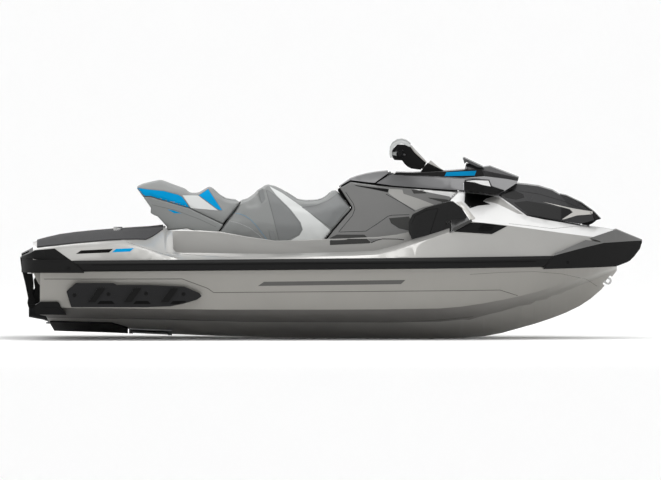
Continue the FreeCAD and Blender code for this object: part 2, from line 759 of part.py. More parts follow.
VENT_PX = [(454, 229.4), (470.2, 220.4), (482, 220.8), (495.4, 222.4), (507.3, 224.1), (491.9, 232.0)]
VENT_SHARES = (0.55, 1.0)
vent_block = starboard_slab("vent_block", elevation(VENT_PX), out(VENT_SHARES[0]), out(VENT_SHARES[1]))
vent_skin = common("vent_skin", vent_block, shifted("vent_outer", deck_mould, "y", -size.skin))
node(pair("side_vents", cut("starboard_vent", vent_skin, deck_mould)), "side_vents")

# Cargo anchors: sockets that stand through the platform's mat.
ANCHOR_PX = 118
ANCHOR_ROWS_PX = (240, 227.6)
anchor_top = up(ANCHOR_ROWS_PX[1])
anchor_place = (along(ANCHOR_PX), -size.anchor_spread, up(ANCHOR_ROWS_PX[0]))
anchor_post = cylinder("anchor_post", size.anchor_radius, anchor_top - up(ANCHOR_ROWS_PX[0]), anchor_place,
                       UPWARD)
anchor_bore = cylinder("anchor_bore", size.anchor_bore, size.anchor_depth * TWICE,
                       (anchor_place[0], anchor_place[1], anchor_top - size.anchor_depth), UPWARD)
anchor_hole = cylinder("anchor_hole", size.anchor_radius + size.seat_gap, size.top_height * HALF,
                       anchor_place, UPWARD)
node(pair("cargo_anchors", cut("starboard_anchor", anchor_post, anchor_bore, deck_mould)), "cargo_anchors")

# Mats on the platform and on the footwells' floors.
MAT_PX_AND_SHARES = [(37, 0.70), (58, 0.785), (120, 0.80), (146, 0.72), (163, 0.48)]
MAT_TOP_PX = 190
mat_plan = slab("mat_plan", "plan", [plan_outline(MAT_PX_AND_SHARES, ZERO)], ZERO, up(MAT_TOP_PX))
mat_layer = common("mat_layer", mat_plan, shifted("mat_skin", deck_mould, "z", size.mat_thickness))
node(cut("platform_mat", mat_layer, deck_mould, anchor_hole, mirrored("port_anchor_hole", anchor_hole)),
     "platform_mat")

WELL_MAT_PX_AND_SHARES = [(210, 0.56), (210, 0.80), (372, 0.80), (418, 0.72), (418, 0.56)]
WELL_FLOOR_PX = 286.3
well_mat = slab("well_mat", "plan", [[(along(px), -out(share)) for px, share in WELL_MAT_PX_AND_SHARES]],
                up(WELL_FLOOR_PX) + size.seat_gap, up(WELL_FLOOR_PX) + size.mat_thickness)
node(pair("footwell_mats", well_mat), "footwell_mats")

# Ride plate and intake grate: sheets that follow the hull's bottom.
PLATE_PX_AND_SHARES = [(50, 0.38), (112, 0.38), (128, 0.20)]
GRATE_PX_AND_SHARES = [(129, 0.165), (172, 0.165)]
GRATE_SLOT_PX = (133, 168)
GRATE_SLOTS = 5
plate_skin = shifted("plate_skin", hull_mould, "z", -size.plate_thickness)
plate_plan = slab("plate_plan", "plan", [plan_outline(PLATE_PX_AND_SHARES, ZERO)], size.draft * -THROUGH,
                  ZERO)
node(cut("ride_plate", common("plate_layer", plate_plan, plate_skin), hull_mould, rake_tool), "ride_plate")


def grate_plan():
    """The grate seen from above: its frame, with slots between the bars."""
    outlines = [plan_outline(GRATE_PX_AND_SHARES, ZERO)]
    half = out(GRATE_PX_AND_SHARES[0][1]) - size.grate_bar
    pitch = half * (TWICE / GRATE_SLOTS)
    aft, front = (along(px) for px in GRATE_SLOT_PX)
    for i in range(GRATE_SLOTS):
        left = pitch * i - half + size.grate_bar * HALF
        right = left + pitch - size.grate_bar
        outlines.append([(aft, left), (front, left), (front, right), (aft, right)])
    return outlines


grate_body = slab("grate_body", "plan", grate_plan(), size.draft * -THROUGH, ZERO)
node(cut("intake_grate", common("grate_layer", grate_body, plate_skin), hull_mould), "intake_grate")

# Jet pump: a flanged ring, a tapering housing with stator vanes, and a ball-shaped outlet
# inside the nozzle, between two ears that hold the nozzle's pivots.
ring_aft = flange_x - size.ring_length
cone_aft = ring_aft - size.cone_length
pivot_x = cone_aft - size.ball_setback
pump_outer = size.pump_bore + size.pump_wall
outlet_outer = size.outlet_bore + size.outlet_wall
socket_radius = size.ball_radius + size.panel_gap
nozzle_outer = socket_radius + size.nozzle_wall
ear_in = nozzle_outer + size.panel_gap
ear_out = ear_in + size.ear_thickness


def ear(label, low, high):
    return block(label, (pivot_x - size.ear_half_width, -size.ear_half_width, pump_z + low),
                 (ring_aft + size.pump_wall, size.ear_half_width, pump_z + high))


pump_skin = fuse(
    "pump_skin",
    cylinder("ring_skin", pump_outer, size.ring_length, (flange_x, ZERO, pump_z), AFT),
    cylinder("flange_skin", pump_outer + size.flange_proud, size.pump_wall, (flange_x, ZERO, pump_z), AFT),
    cone("cone_skin", pump_outer, outlet_outer, size.cone_length, (ring_aft, ZERO, pump_z), AFT),
    ball("ball_skin", size.ball_radius, (pivot_x, ZERO, pump_z)),
    ear("ear_top", ear_in, ear_out),
    ear("ear_foot", -ear_out, -ear_in),
    cylinder("nozzle_pins", size.pivot_radius, ear_out * TWICE, (pivot_x, ZERO, pump_z - ear_out), UPWARD))
pump_void = fuse(
    "pump_void",
    cylinder("ring_void", size.pump_bore, size.ring_length + size.overrun,
             (flange_x + size.overrun, ZERO, pump_z), AFT),
    cone("cone_void", size.pump_bore, size.outlet_bore, size.cone_length, (ring_aft, ZERO, pump_z), AFT),
    cylinder("outlet_void", size.outlet_bore, size.ball_radius * TWICE, (cone_aft, ZERO, pump_z), AFT))

VANES = 7
VANE_LENGTH_SHARE = 0.55
HUB_LENGTH_SHARE = 0.8
HUB_TIP_SHARE = 0.5
BEARING_SHARE = 0.35


def stator():
    """Hub with a bearing bore, carried in the tapering housing by straight vanes."""
    centre = (ring_aft, ZERO, pump_z)
    hub = cone("stator_core", size.stator_hub, size.stator_hub * HUB_TIP_SHARE,
               size.cone_length * HUB_LENGTH_SHARE,
               centre, AFT)
    length = size.cone_length * VANE_LENGTH_SHARE
    lengths = {"Length": length, "Width": size.vane_thickness, "Height": pump_outer}
    base = (ring_aft - length, ZERO, pump_z)
    vanes = [primitive("Part::Box", f"stator_vane_{i}", lengths, base,
                       FreeCAD.Rotation(FORWARD, i * FULL_TURN_DEG / VANES))
             for i in range(VANES)]
    limit = cone("stator_limit", size.pump_bore + size.run_gap, size.outlet_bore + size.run_gap,
                 size.cone_length,
                 centre, AFT)
    bearing = cylinder("bearing_bore", size.shaft_radius + size.run_gap,
                       size.cone_length * BEARING_SHARE + size.overrun,
                       (ring_aft + size.overrun, ZERO, pump_z), AFT)
    return cut("stator", common("stator_inside", fuse("stator_raw", hub, *vanes), limit), bearing)


node(fuse("pump_housing", cut("pump_shell", pump_skin, pump_void), stator()), "pump_housing")

# Steering nozzle: a socket round the pump's outlet, tapering to the jet's own outlet.
MOUTH_SHARE = 0.09
nozzle_taper = size.nozzle_reach - size.ball_radius * HALF
taper_x = pivot_x - size.ball_radius * HALF
nozzle_solid = fuse(
    "nozzle_solid",
    ball("socket_skin", nozzle_outer, (pivot_x, ZERO, pump_z)),
    cone("nozzle_skin", nozzle_outer * SKIN_SHARE, size.nozzle_bore + size.nozzle_wall, nozzle_taper,
         (taper_x, ZERO, pump_z), AFT))
nozzle_void = fuse(
    "nozzle_void",
    ball("socket_void", socket_radius, (pivot_x, ZERO, pump_z)),
    cone("taper_void", socket_radius * VOID_SHARE, size.nozzle_bore, nozzle_taper, (taper_x, ZERO, pump_z),
         AFT),
    cylinder("jet_bore", size.nozzle_bore, size.nozzle_reach + size.overrun, (pivot_x, ZERO, pump_z), AFT),
    block("nozzle_mouth", (pivot_x + size.ball_radius * MOUTH_SHARE, -pump_outer, pump_z - pump_outer),
          (pivot_x + pump_outer, pump_outer, pump_z + pump_outer)),
    cylinder("pivot_bore", size.pivot_radius + size.run_gap, pump_outer * TWICE,
             (pivot_x, ZERO, pump_z - pump_outer),
             UPWARD))
node(cut("steering_nozzle", nozzle_solid, nozzle_void), "steering_nozzle")

# Impeller and its shaft.
BLADES = 4
BLADE_PITCH_DEG = 38
impeller_front = flange_x - size.pump_wall


def impeller():
    """Hub with pitched blades, each a plate turned about its own radius."""
    centre = (impeller_front, ZERO, pump_z)
    pieces = [cone("impeller_core", size.impeller_hub * THREE_QUARTERS, size.impeller_hub,
                   size.impeller_length, centre, AFT)]
    chord = size.impeller_length * CHORD_SHARE
    lengths = {"Length": chord, "Width": size.blade_thickness, "Height": size.impeller_radius * THROUGH}
    for i in range(BLADES):
        turn = FreeCAD.Rotation(FORWARD, i * FULL_TURN_DEG / BLADES).multiply(FreeCAD.Rotation(UPWARD,
            BLADE_PITCH_DEG))
        back = turn.multVec(AFT)
        middle = impeller_front - size.impeller_length * HALF
        base = (middle + chord * (back.x * HALF), chord * (back.y * HALF), pump_z + chord * (back.z * HALF))
        pieces.append(primitive("Part::Box", f"blade_{i}", lengths, base, turn))
    swept = cylinder("impeller_limit", size.impeller_radius, size.impeller_length, centre, AFT)
    bore = cylinder("impeller_bore", size.shaft_radius, size.impeller_length + size.overrun * TWICE,
                    (impeller_front + size.overrun, ZERO, pump_z), AFT)
    return cut("impeller", common("impeller_swept", fuse("impeller_raw", *pieces), swept), bore)


node(impeller(), "impeller")
shaft_tip = ring_aft - size.cone_length * BEARING_SHARE + size.panel_gap
shaft_front = bay_aft + size.engine_mount_gap - size.panel_gap
node(cylinder("drive_shaft_rod", size.shaft_radius, shaft_front - shaft_tip, (shaft_tip, ZERO, pump_z),
              FORWARD),
     "drive_shaft")

# Reverse bucket: a curved scoop between two cheeks, parked above the nozzle. It swings
# about the nozzle's own centre, so that it clears the jet's outlet.
BUCKET_SHARES = [(0.13, -0.13), (0.13, 0.13), (0.42, 0.95), (0, 1.1), (-0.70, 0.95), (-0.86, 0.52),
                 (-0.13, -0.13)]
bucket_outer = size.bucket_radius + size.bucket_wall
bucket_half = size.bucket_half_width
bucket_drum = cylinder("bucket_drum", bucket_outer, bucket_half * TWICE, (pivot_x, -bucket_half, pump_z),
                       PORT)
bucket_inside = bucket_half - size.bucket_wall
bucket_hollow = cylinder("bucket_hollow", size.bucket_radius, bucket_inside * TWICE,
                         (pivot_x, -bucket_inside, pump_z), PORT)
bucket_wedge = side_slab("bucket_wedge", [
    (pivot_x + bucket_outer * a, pump_z + bucket_outer * b) for a, b in BUCKET_SHARES], bucket_half * WIDER)
bucket_bore = cylinder("bucket_bore", size.pivot_radius + size.run_gap, bucket_half * TWICE * THROUGH,
                       (pivot_x, bucket_half * -THROUGH, pump_z), PORT)
bucket_scoop = common("bucket_scoop", cut("bucket_shell", bucket_drum, bucket_hollow), bucket_wedge)
node(cut("reverse_bucket", bucket_scoop, bucket_bore), "reverse_bucket")

# Brackets on the tunnel's sides that carry the bucket's pivots.
bracket_in = bucket_half + size.panel_gap
bracket = starboard_slab("bracket", [
    (pivot_x + size.bracket_reach, pump_z - size.bracket_height),
    (pivot_x + size.bracket_reach, pump_z + size.bracket_height),
    (pivot_x, pump_z + size.ear_half_width), (pivot_x - size.ear_half_width, pump_z),
    (pivot_x, pump_z - size.ear_half_width)], bracket_in, size.tunnel_half_width)
bracket_pin = cylinder("bracket_pin", size.pivot_radius,
                       size.tunnel_half_width - bucket_half + size.bucket_wall,
                       (pivot_x, -size.tunnel_half_width, pump_z), PORT)
node(pair("bucket_brackets", fuse("starboard_bracket", bracket, bracket_pin)), "bucket_brackets")

# Boarding ladder, folded up into the stern bumper's recess, and its brackets.
LADDER_PX = (32, 303)
LADDER_ARM_PX = [(35.4, 303), (34.2, 306.6), (31.6, 307.8), (28.6, 306.6), (27.4, 303), (28.2, 298),
                 (25.6, 285),
                 (21.6, 268.5), (20.2, 257.6), (24.5, 255.4), (26.5, 257.5), (27.4, 268.5), (30.6,
                     284), (33.4, 296),
                 (35.2, 299.4)]
TREAD_PX = [(20.2, 257.6), (24.5, 255.4), (26.5, 257.5), (27.2, 266.5), (21.4, 267.6)]
ladder_x = along(LADDER_PX[0])
ladder_z = up(LADDER_PX[1])
arm_in = size.ladder_half_width
arm_out = size.ladder_half_width + size.ladder_arm
ladder_arm = starboard_slab("ladder_arm", elevation(LADDER_ARM_PX), arm_in, arm_out)
ladder_tread = side_slab("ladder_tread", elevation(TREAD_PX), arm_in + size.ladder_arm * HALF)
ladder_bore = cylinder("ladder_bore", size.ladder_pin + size.run_gap, arm_out * TWICE * THROUGH,
                       (ladder_x, arm_out * -THROUGH, ladder_z),
                       PORT)
ladder_solid = fuse("ladder_solid", ladder_arm, mirrored("ladder_arm_port", ladder_arm), ladder_tread)
node(cut("boarding_ladder", ladder_solid, ladder_bore), "boarding_ladder")

LUG_SHARES = [(-0.5, 2), (-2, 0.7), (-2, -0.7), (-0.5, -2)]
LUG_PX = [(35.6, 277), (33.8, 280), (35.4, 292)]
lug = starboard_slab("lug", [
    (transom_x, ladder_z - size.ladder_pin * THRICE), (transom_x, up(LUG_PX[0][1]))] + elevation(LUG_PX) + [
    (ladder_x + size.ladder_pin * a, ladder_z + size.ladder_pin * b) for a, b in LUG_SHARES],
    arm_in - size.ladder_arm * LUG_SHARE, arm_in - size.seat_gap)
lug_pin = cylinder("lug_pin", size.ladder_pin, size.ladder_arm * LONGER,
                   (ladder_x, -arm_out - size.run_gap, ladder_z), PORT)
node(pair("ladder_brackets", fuse("ladder_lug", lug, lug_pin)), "ladder_brackets")

# Tow eyes on the transom.
TOW_EYE_PX = (31, 272.6)
tow_x = along(TOW_EYE_PX[0])
tow_z = up(TOW_EYE_PX[1])
tow_plate = cylinder("tow_plate", size.eye_radius, size.eye_thickness, (tow_x, -size.tow_eye_spread, tow_z),
                     UPWARD)
tow_neck = block("tow_neck", (tow_x, -size.tow_eye_spread - size.eye_bore, tow_z),
                 (transom_x, -size.tow_eye_spread + size.eye_bore, tow_z + size.eye_thickness))
tow_bore = cylinder("tow_bore", size.eye_bore, size.eye_thickness * THRICE,
                    (tow_x, -size.tow_eye_spread, tow_z - size.eye_thickness), UPWARD)
node(pair("tow_eyes", cut("starboard_tow_eye", fuse("tow_solid", tow_plate, tow_neck), tow_bore)),
     "tow_eyes")

# Seats. Neighbouring pieces share the lines on which they meet.
JOIN_FOOT_PX = 214.9
FACE_FOOT_PX = 322.9
TAIL_FOOT_PX = 167
SEAT_JOIN_PX = [(241.4, 200.9), (JOIN_FOOT_PX, row_on(SEAT_BED_PX, JOIN_FOOT_PX))]
SEAT_FACE_PX = [(336.6, 189.7), (351.1, 206.6), (350.8, 209), (332, 230.5),
                (FACE_FOOT_PX, row_on(SEAT_BED_PX, FACE_FOOT_PX))]
FRONT_SEAT_TOP_PX = [(247, 199.9), (254.6, 195), (257.8, 190.9), (261.6, 189.2), (268.5, 183.9),
                     (282.3, 190.7),
                     (297.6, 200.4), (306, 201.6), (314.2, 201.3), (320, 200.5), (327, 197), (334, 189.7)]
REAR_SEAT_TOP_PX = [(135.4, 186.3), (153.6, 182.4), (160, 181.2), (162.5, 181.6), (176.5, 186.9),
                    (184.8, 189.8),
                    (189.6, 194.2), (198.2, 194.2), (208.5, 187.6), (210, 187.6), (219.5, 196.1), (224.6,
                        199.3),
                    (229.7, 200.4)]
TAIL_JOIN_PX = [(143.8, 196.3), (150.4, 196.0), (190.2, 207.7), (223.9, 224.0)]
TAIL_BACK_PX = [(TAIL_FOOT_PX, row_on(SEAT_BED_PX, TAIL_FOOT_PX)), (167, 226.1), (157.7, 215.9),
                (155.5, 215), (150.4, 212.4),
                (151, 208.3), (150.4, 206.4)]
FRONT_SEAT_PX_AND_SHARES = [
    (205, 0.36, 250, 0.355, 222, 0.30, 200, 0.24, 178),
    (250, 0.36, 250, 0.355, 222, 0.31, 200, 0.25, 178),
    (290, 0.35, 250, 0.34, 225, 0.30, 203, 0.22, 178),
    (325, 0.31, 250, 0.30, 225, 0.26, 203, 0.18, 185),
    (356, 0.27, 250, 0.26, 225, 0.23, 203, 0.15, 185),
]
REAR_SEAT_PX_AND_SHARES = [
    (130, 0.30, 230, 0.31, 200, 0.29, 188, 0.20, 176),
    (165, 0.33, 230, 0.34, 204, 0.31, 190, 0.20, 176),
    (200, 0.35, 230, 0.35, 210, 0.31, 195, 0.22, 180),
    (245, 0.36, 250, 0.355, 222, 0.31, 200, 0.25, 178),
]
TAIL_PX_AND_SHARES = [
    (136, 0.24, 235, 0.27, 215, 0.30, 190),
    (175, 0.30, 240, 0.32, 215, 0.335, 190),
    (225, 0.36, 245, 0.357, 222, 0.35, 190),
]
WIDE_SHARE = 0.8
ONE_STEP = 1
join_up = moved(elevation(SEAT_JOIN_PX), size.cushion_gap * HALF, size.seat_gap)
join_down = moved(elevation(SEAT_JOIN_PX), size.cushion_gap * -HALF, ZERO)
bed_points = [point for point in SEAT_BED_PX if SEAT_JOIN_PX[1][0] < point[0] < SEAT_FACE_PX[-1][0]]
front_seat_outline = (
    [join_up[0]] + elevation(FRONT_SEAT_TOP_PX) + moved(elevation(SEAT_FACE_PX), ZERO, size.seat_gap)
    + moved(elevation(list(reversed(bed_points))), ZERO, size.seat_gap) + [join_up[1]])
front_seat_width = mould("front_seat_width", FRONT_SEAT_PX_AND_SHARES, ONE_STEP)
seat_front = node(common("seat_front", front_seat_width,
                         side_slab("front_seat_side", front_seat_outline, out(WIDE_SHARE))), "seat_front")

rear_width = mould("rear_width", REAR_SEAT_PX_AND_SHARES, ONE_STEP)
rear_outline = (
    elevation(REAR_SEAT_TOP_PX) + [join_down[0]]
    + moved(elevation(list(reversed(TAIL_JOIN_PX))), size.cushion_gap * -HALF, size.seat_gap))
node(common("seat_rear", rear_width, side_slab("rear_seat_side", rear_outline, out(WIDE_SHARE))),
     "seat_rear")

tail_bed = [point for point in SEAT_BED_PX if TAIL_BACK_PX[0][0] < point[0] < SEAT_JOIN_PX[1][0]]
tail_outline = (
    moved(elevation(TAIL_JOIN_PX), size.cushion_gap * -HALF,
          ZERO) + [(join_down[1][0], join_down[1][1] + size.join_lift)]
    + moved(elevation(list(reversed(tail_bed))), ZERO, size.seat_gap)
    + moved(elevation(TAIL_BACK_PX), ZERO, size.seat_gap))
node(common("seat_tail_shell", mould("tail_width", TAIL_PX_AND_SHARES, ONE_STEP),
            side_slab("tail_side", tail_outline, out(WIDE_SHARE))), "seat_tail_shell")

# Grab strap over the front seat.
STRAP_PX = [(255.6, 180), (260.6, 180), (277.6, 243.0), (272.0, 243.2)]
strap_side = side_slab("strap_side", elevation(STRAP_PX), out(WIDE_SHARE))
strap_raise = moved(front_seat_outline, ZERO, size.strap_thickness)
strap_outer = common("strap_outer", fuse(
    "strap_width", shifted("strap_starboard", front_seat_width, "y", -size.strap_thickness),
    shifted("strap_port", front_seat_width, "y", size.strap_thickness)),
    side_slab("strap_raise", strap_raise, out(WIDE_SHARE)))
node(cut("seat_strap", common("strap_band", strap_outer, strap_side), seat_front), "seat_strap")

# Console between the seat and the hood, with the glovebox in its top.
CONSOLE_TOP_PX = [(339.9, 187.4), (350.4, 181.6), (375.4, 184.7), (393.8, 186.4), (430, 189.0),
                  (458.0, 191.0)]
CONSOLE_PX_AND_SHARES = [
    (312, 0.30, 246, 0.27, 228, 0.24, 205, 0.20, 176),
    (345, 0.31, 246, 0.28, 228, 0.25, 205, 0.22, 180),
    (385, 0.35, 246, 0.33, 228, 0.30, 205, 0.26, 182),
    (420, 0.40, 246, 0.38, 228, 0.35, 205, 0.33, 184),
    (462, 0.44, 246, 0.42, 228, 0.38, 205, 0.365, 186),
]
GLOVEBOX_PX = (353, 374)
GLOVEBOX_ROWS_PX = (212, 170)
GLOVEBOX_SHARE = 0.13
console_aft = [(a + size.cushion_gap, b) for a, b in elevation(SEAT_FACE_PX[1:])]
console_bed = [point for point in SEAT_BED_PX if SEAT_FACE_PX[-1][0] < point[0]]
console_outline = (
    elevation(CONSOLE_TOP_PX) + elevation(CONSOLE_FRONT_PX[2:-1])
    + moved(elevation(list(reversed(console_bed))), ZERO, size.seat_gap)
    + list(reversed(moved(console_aft, ZERO, size.seat_gap))))
console_solid = common("console_solid", mould("console_width", CONSOLE_PX_AND_SHARES, ONE_STEP),
                       side_slab("console_side", console_outline, out(WIDE_SHARE)))
glovebox = block("glovebox", (along(GLOVEBOX_PX[0]), -out(GLOVEBOX_SHARE), up(GLOVEBOX_ROWS_PX[0])),
                 (along(GLOVEBOX_PX[1]), out(GLOVEBOX_SHARE), up(GLOVEBOX_ROWS_PX[1])))
node(cut("console", console_solid, glovebox), "console")

# Glovebox lid, hinged at its front edge on the hood.
LID_HINGE_PX = (389.9, 172.9)
LID_PX = [(339.0, 186.3), (350.0, 178.5), (357, 175.9), (366, 173.5), (377, 171.6), (387.0, 170.7),
          (388.0, 171.2),
          (388.0, 172.8), (374.4, 182.4), (350.4, 179.6), (341.2, 184.9), (339.9, 186.9)]
LID_PX_AND_SHARES = [
    (335, 0.22, 200, 0.21, 183, 0.13, 165),
    (360, 0.24, 200, 0.23, 182, 0.15, 165),
    (392, 0.27, 200, 0.25, 182, 0.18, 162),
]
lid_x = along(LID_HINGE_PX[0])
lid_z = up(LID_HINGE_PX[1])
lid_space = size.lid_barrel + size.panel_gap
lid_solid = common("lid_solid", mould("lid_width", LID_PX_AND_SHARES, ONE_STEP),
                   side_slab("lid_side", elevation(LID_PX), out(WIDE_SHARE)))
knuckle_gap = size.lid_knuckle + size.seat_gap


def lid_knuckle(label):
    """The lid's starboard knuckle: a barrel on a leaf that runs under the lid's skin."""
    barrel = cylinder(f"{label}_barrel", size.lid_barrel, size.lid_knuckle,
                      (lid_x, -knuckle_gap - size.lid_knuckle, lid_z), PORT)
    leaf = block(f"{label}_leaf", (lid_x - size.lid_barrel * THRICE, -knuckle_gap - size.lid_knuckle,
                                   lid_z - size.lid_pin),
                 (lid_x, -knuckle_gap, lid_z + size.lid_pin))
    return fuse(label, barrel, leaf)


starboard_knuckle = lid_knuckle("starboard_knuckle")
lid_bore = cylinder("lid_bore", size.lid_pin + size.run_gap, knuckle_gap * SIXFOLD,
                    (lid_x, knuckle_gap * -THRICE, lid_z), PORT)
lid_swing = cylinder("lid_swing", lid_space, size.lid_knuckle * TWICE, (lid_x, -size.lid_knuckle, lid_z),
                     PORT)
glovebox_lid = node(cut(
    "glovebox_lid", fuse("lid_raw", lid_solid, starboard_knuckle,
                         mirrored("port_knuckle", starboard_knuckle)),
    lid_bore, lid_swing), "glovebox_lid")

# Hood, hollow from below, with its dark inner deck.
HOOD_FOOT_PX = [(376.4, 182.6), (393.8, 185.0), (430, 187.6), (464.8, 189.8), (498.4, 194.0)]
HOOD_TOP_PX = [(516.4, 182.4), (517.6, 180.2), (505.5, 178.0), (484, 175.4), (463, 177.2), (426, 175.2),
               (393.5, 174.2), (389.6, 174.2)]
HOOD_INNER_PX = [(392, 190), (396, 177.0), (426, 178.0), (463, 180.0), (484, 178.2), (505, 180.8),
                 (512, 183.6),
                 (497, 191.6), (496, 205), (392, 205)]
HOOD_PX_AND_SHARES = [
    (370, 0.25, 195, 0.25, 183, 0.19, 165),
    (410, 0.33, 195, 0.32, 186, 0.25, 160),
    (450, 0.38, 198, 0.37, 188, 0.28, 160),
    (500, 0.42, 204, 0.41, 193, 0.27, 160),
    (525, 0.43, 210, 0.42, 200, 0.27, 160),
]
HOOD_INNER_PX_AND_SHARES = [
    (385, 0.24, 205, 0.25, 186, 0.20, 160),
    (450, 0.33, 205, 0.32, 188, 0.24, 160),
    (500, 0.37, 205, 0.36, 193, 0.23, 160),
    (525, 0.38, 210, 0.37, 200, 0.23, 160),
]
hood_mould = common("hood_mould", mould("hood_width", HOOD_PX_AND_SHARES, ONE_STEP),
                    side_slab("hood_side", elevation(HOOD_FOOT_PX + HOOD_TOP_PX), out(WIDE_SHARE)))
hood_hollow = common("hood_hollow", mould("hood_inner", HOOD_INNER_PX_AND_SHARES, ONE_STEP),
                     side_slab("hood_inner_side", elevation(HOOD_INNER_PX), out(WIDE_SHARE)))
knuckle_swing = cylinder("knuckle_swing", lid_space, size.lid_knuckle * TWICE,
                         (lid_x, -knuckle_gap - size.lid_knuckle * TWICE, lid_z), PORT)
hood_leaf = block("hood_leaf", (lid_x, -size.lid_knuckle, lid_z - size.lid_barrel * THRICE),
                  (lid_x + size.lid_barrel * THRICE, size.lid_knuckle, lid_z))
hood_barrel = cylinder("hood_barrel", size.lid_barrel, size.lid_knuckle * TWICE,
                       (lid_x, -size.lid_knuckle, lid_z), PORT)
lid_pin = cylinder("lid_pin", size.lid_pin, size.lid_knuckle * FOURFOLD,
                   (lid_x, size.lid_knuckle * -TWICE, lid_z), PORT)
hood_shell = cut("hood_shell", hood_mould, hood_hollow, knuckle_swing, mirrored("port_swing", knuckle_swing))
hood = node(fuse("hood", hood_shell, hood_leaf, hood_barrel, lid_pin), "hood")

HOOD_DECK_PX = [(394.5, 173.4), (396, 171.9), (412, 172.2), (447, 170.6), (465, 169.3), (482, 168.2),
                (487, 172),
                (487, 177.5), (463, 179.5), (426, 177.5), (394.5, 176.4)]
HOOD_DECK_PX_AND_SHARES = [
    (385, 0.19, 190, 0.18, 165),
    (450, 0.25, 190, 0.22, 160),
    (490, 0.24, 190, 0.20, 160),
]
deck_inlay = common("deck_inlay", mould("inlay_width", HOOD_DECK_PX_AND_SHARES, ONE_STEP),
                    side_slab("inlay_side", elevation(HOOD_DECK_PX), out(WIDE_SHARE)))
hood_deck = node(cut("hood_deck", deck_inlay, hood_mould), "hood_deck")

# Bonnet ahead of the hood, hollow from below, with the pocket for its hinge.
BONNET_PX = [(512, 181.5), (517.2, 183.2), (527, 184.2), (538.2, 185.6), (552.3, 189.8), (562, 195.5),
             (570, 198.0),
             (581.7, 204.5), (592, 213.0), (594.0, 219.6), (580.3, 223.2), (560.7, 219.9), (527,
                 213.6), (499.4, 194.6),
             (497, 190)]
BONNET_INNER_PX = [(500, 195.5), (520, 186.9), (538, 189.0), (551, 193.0), (562, 198.7), (572, 204.7),
                   (576, 215),
                   (575, 240), (530, 240)]
BONNET_PX_AND_SHARES = [
    (494, 0.43, 215, 0.42, 194, 0.22, 170),
    (527, 0.49, 222, 0.475, 213, 0.24, 178),
    (561, 0.41, 226, 0.395, 219, 0.20, 182),
    (581, 0.33, 230, 0.31, 222, 0.15, 192),
    (602, 0.22, 230, 0.20, 220, 0.08, 200),
]
BONNET_INNER_PX_AND_SHARES = [
    (494, 0.37, 245, 0.36, 194, 0.17, 170),
    (527, 0.42, 245, 0.41, 213, 0.19, 178),
    (561, 0.34, 245, 0.33, 219, 0.15, 182),
    (581, 0.26, 245, 0.25, 222, 0.10, 192),
]
HOOD_HINGE_PX = (588, 218.5)
hinge_x = along(HOOD_HINGE_PX[0])
hinge_z = up(HOOD_HINGE_PX[1])
bonnet_mould = common("bonnet_mould", mould("bonnet_width", BONNET_PX_AND_SHARES, ONE_STEP),
                      side_slab("bonnet_side", elevation(BONNET_PX), out(WIDE_SHARE)))
bonnet_hollow = common("bonnet_hollow", mould("bonnet_inner", BONNET_INNER_PX_AND_SHARES, ONE_STEP),
                       side_slab("bonnet_inner_side", elevation(BONNET_INNER_PX), out(WIDE_SHARE)))
pocket_half = size.hinge_half_width + size.panel_gap
hinge_pocket = fuse(
    "hinge_pocket",
    cylinder("hinge_pocket_round", size.hinge_pocket, pocket_half * TWICE, (hinge_x, -pocket_half, hinge_z),
             PORT),
    block("hinge_pocket_foot", (hinge_x - size.hinge_pocket, -pocket_half,
                                hinge_z - size.hinge_pocket * TWICE),
          (hinge_x + size.hinge_pocket, pocket_half, hinge_z)))
hinge_bore = cylinder("hinge_bore", size.hinge_pin + size.run_gap, pocket_half * FOURFOLD,
                      (hinge_x, pocket_half * -TWICE, hinge_z),
                      PORT)
bonnet = node(cut("bonnet", bonnet_mould, bonnet_hollow, hood_mould, hinge_pocket, hinge_bore), "bonnet")

COWL_TOP_PX = [(581, 225.0), (600, 227.5)]
cowl_top = up(row_on(COWL_TOP_PX, HOOD_HINGE_PX[0]))
HINGE_STEM_SHARE = 0.6
hinge_stem = block(
    "hinge_stem", (hinge_x - size.hinge_eye * HINGE_STEM_SHARE, -size.hinge_half_width,
                   cowl_top - size.overrun),
    (hinge_x + size.hinge_eye * HINGE_STEM_SHARE, size.hinge_half_width, hinge_z))
hinge_head = cylinder("hinge_head", size.hinge_eye, size.hinge_half_width * TWICE,
                      (hinge_x, -size.hinge_half_width, hinge_z), PORT)
hinge_pin = cylinder("hinge_pin", size.hinge_pin, pocket_half * FOURFOLD - size.overrun,
                     (hinge_x, pocket_half * -TWICE + size.overrun * HALF, hinge_z), PORT)
node(fuse("hood_hinge", cut("hinge_foot", hinge_stem, cowl_mould), hinge_head, hinge_pin), "hood_hinge")

NOSE_PX = [(560, 193.6), (566.3, 195.0), (581.7, 202.2), (594.3, 211.4), (601, 218.5), (595.4, 220.1),
           (593.0, 219.8),
           (590, 212.8), (581.7, 206.0), (570, 199.5), (560, 196.5)]
NOSE_PX_AND_SHARES = [
    (556, 0.30, 215, 0.26, 200, 0.13, 180),
    (580, 0.27, 225, 0.24, 212, 0.12, 190),
    (604, 0.20, 230, 0.17, 220, 0.08, 200),
]
nose_solid = common("nose_solid", mould("nose_width", NOSE_PX_AND_SHARES, ONE_STEP),
                    side_slab("nose_side", elevation(NOSE_PX), out(WIDE_SHARE)))
node(cut("nose_cover", nose_solid, bonnet_mould, hinge_pocket), "nose_cover")

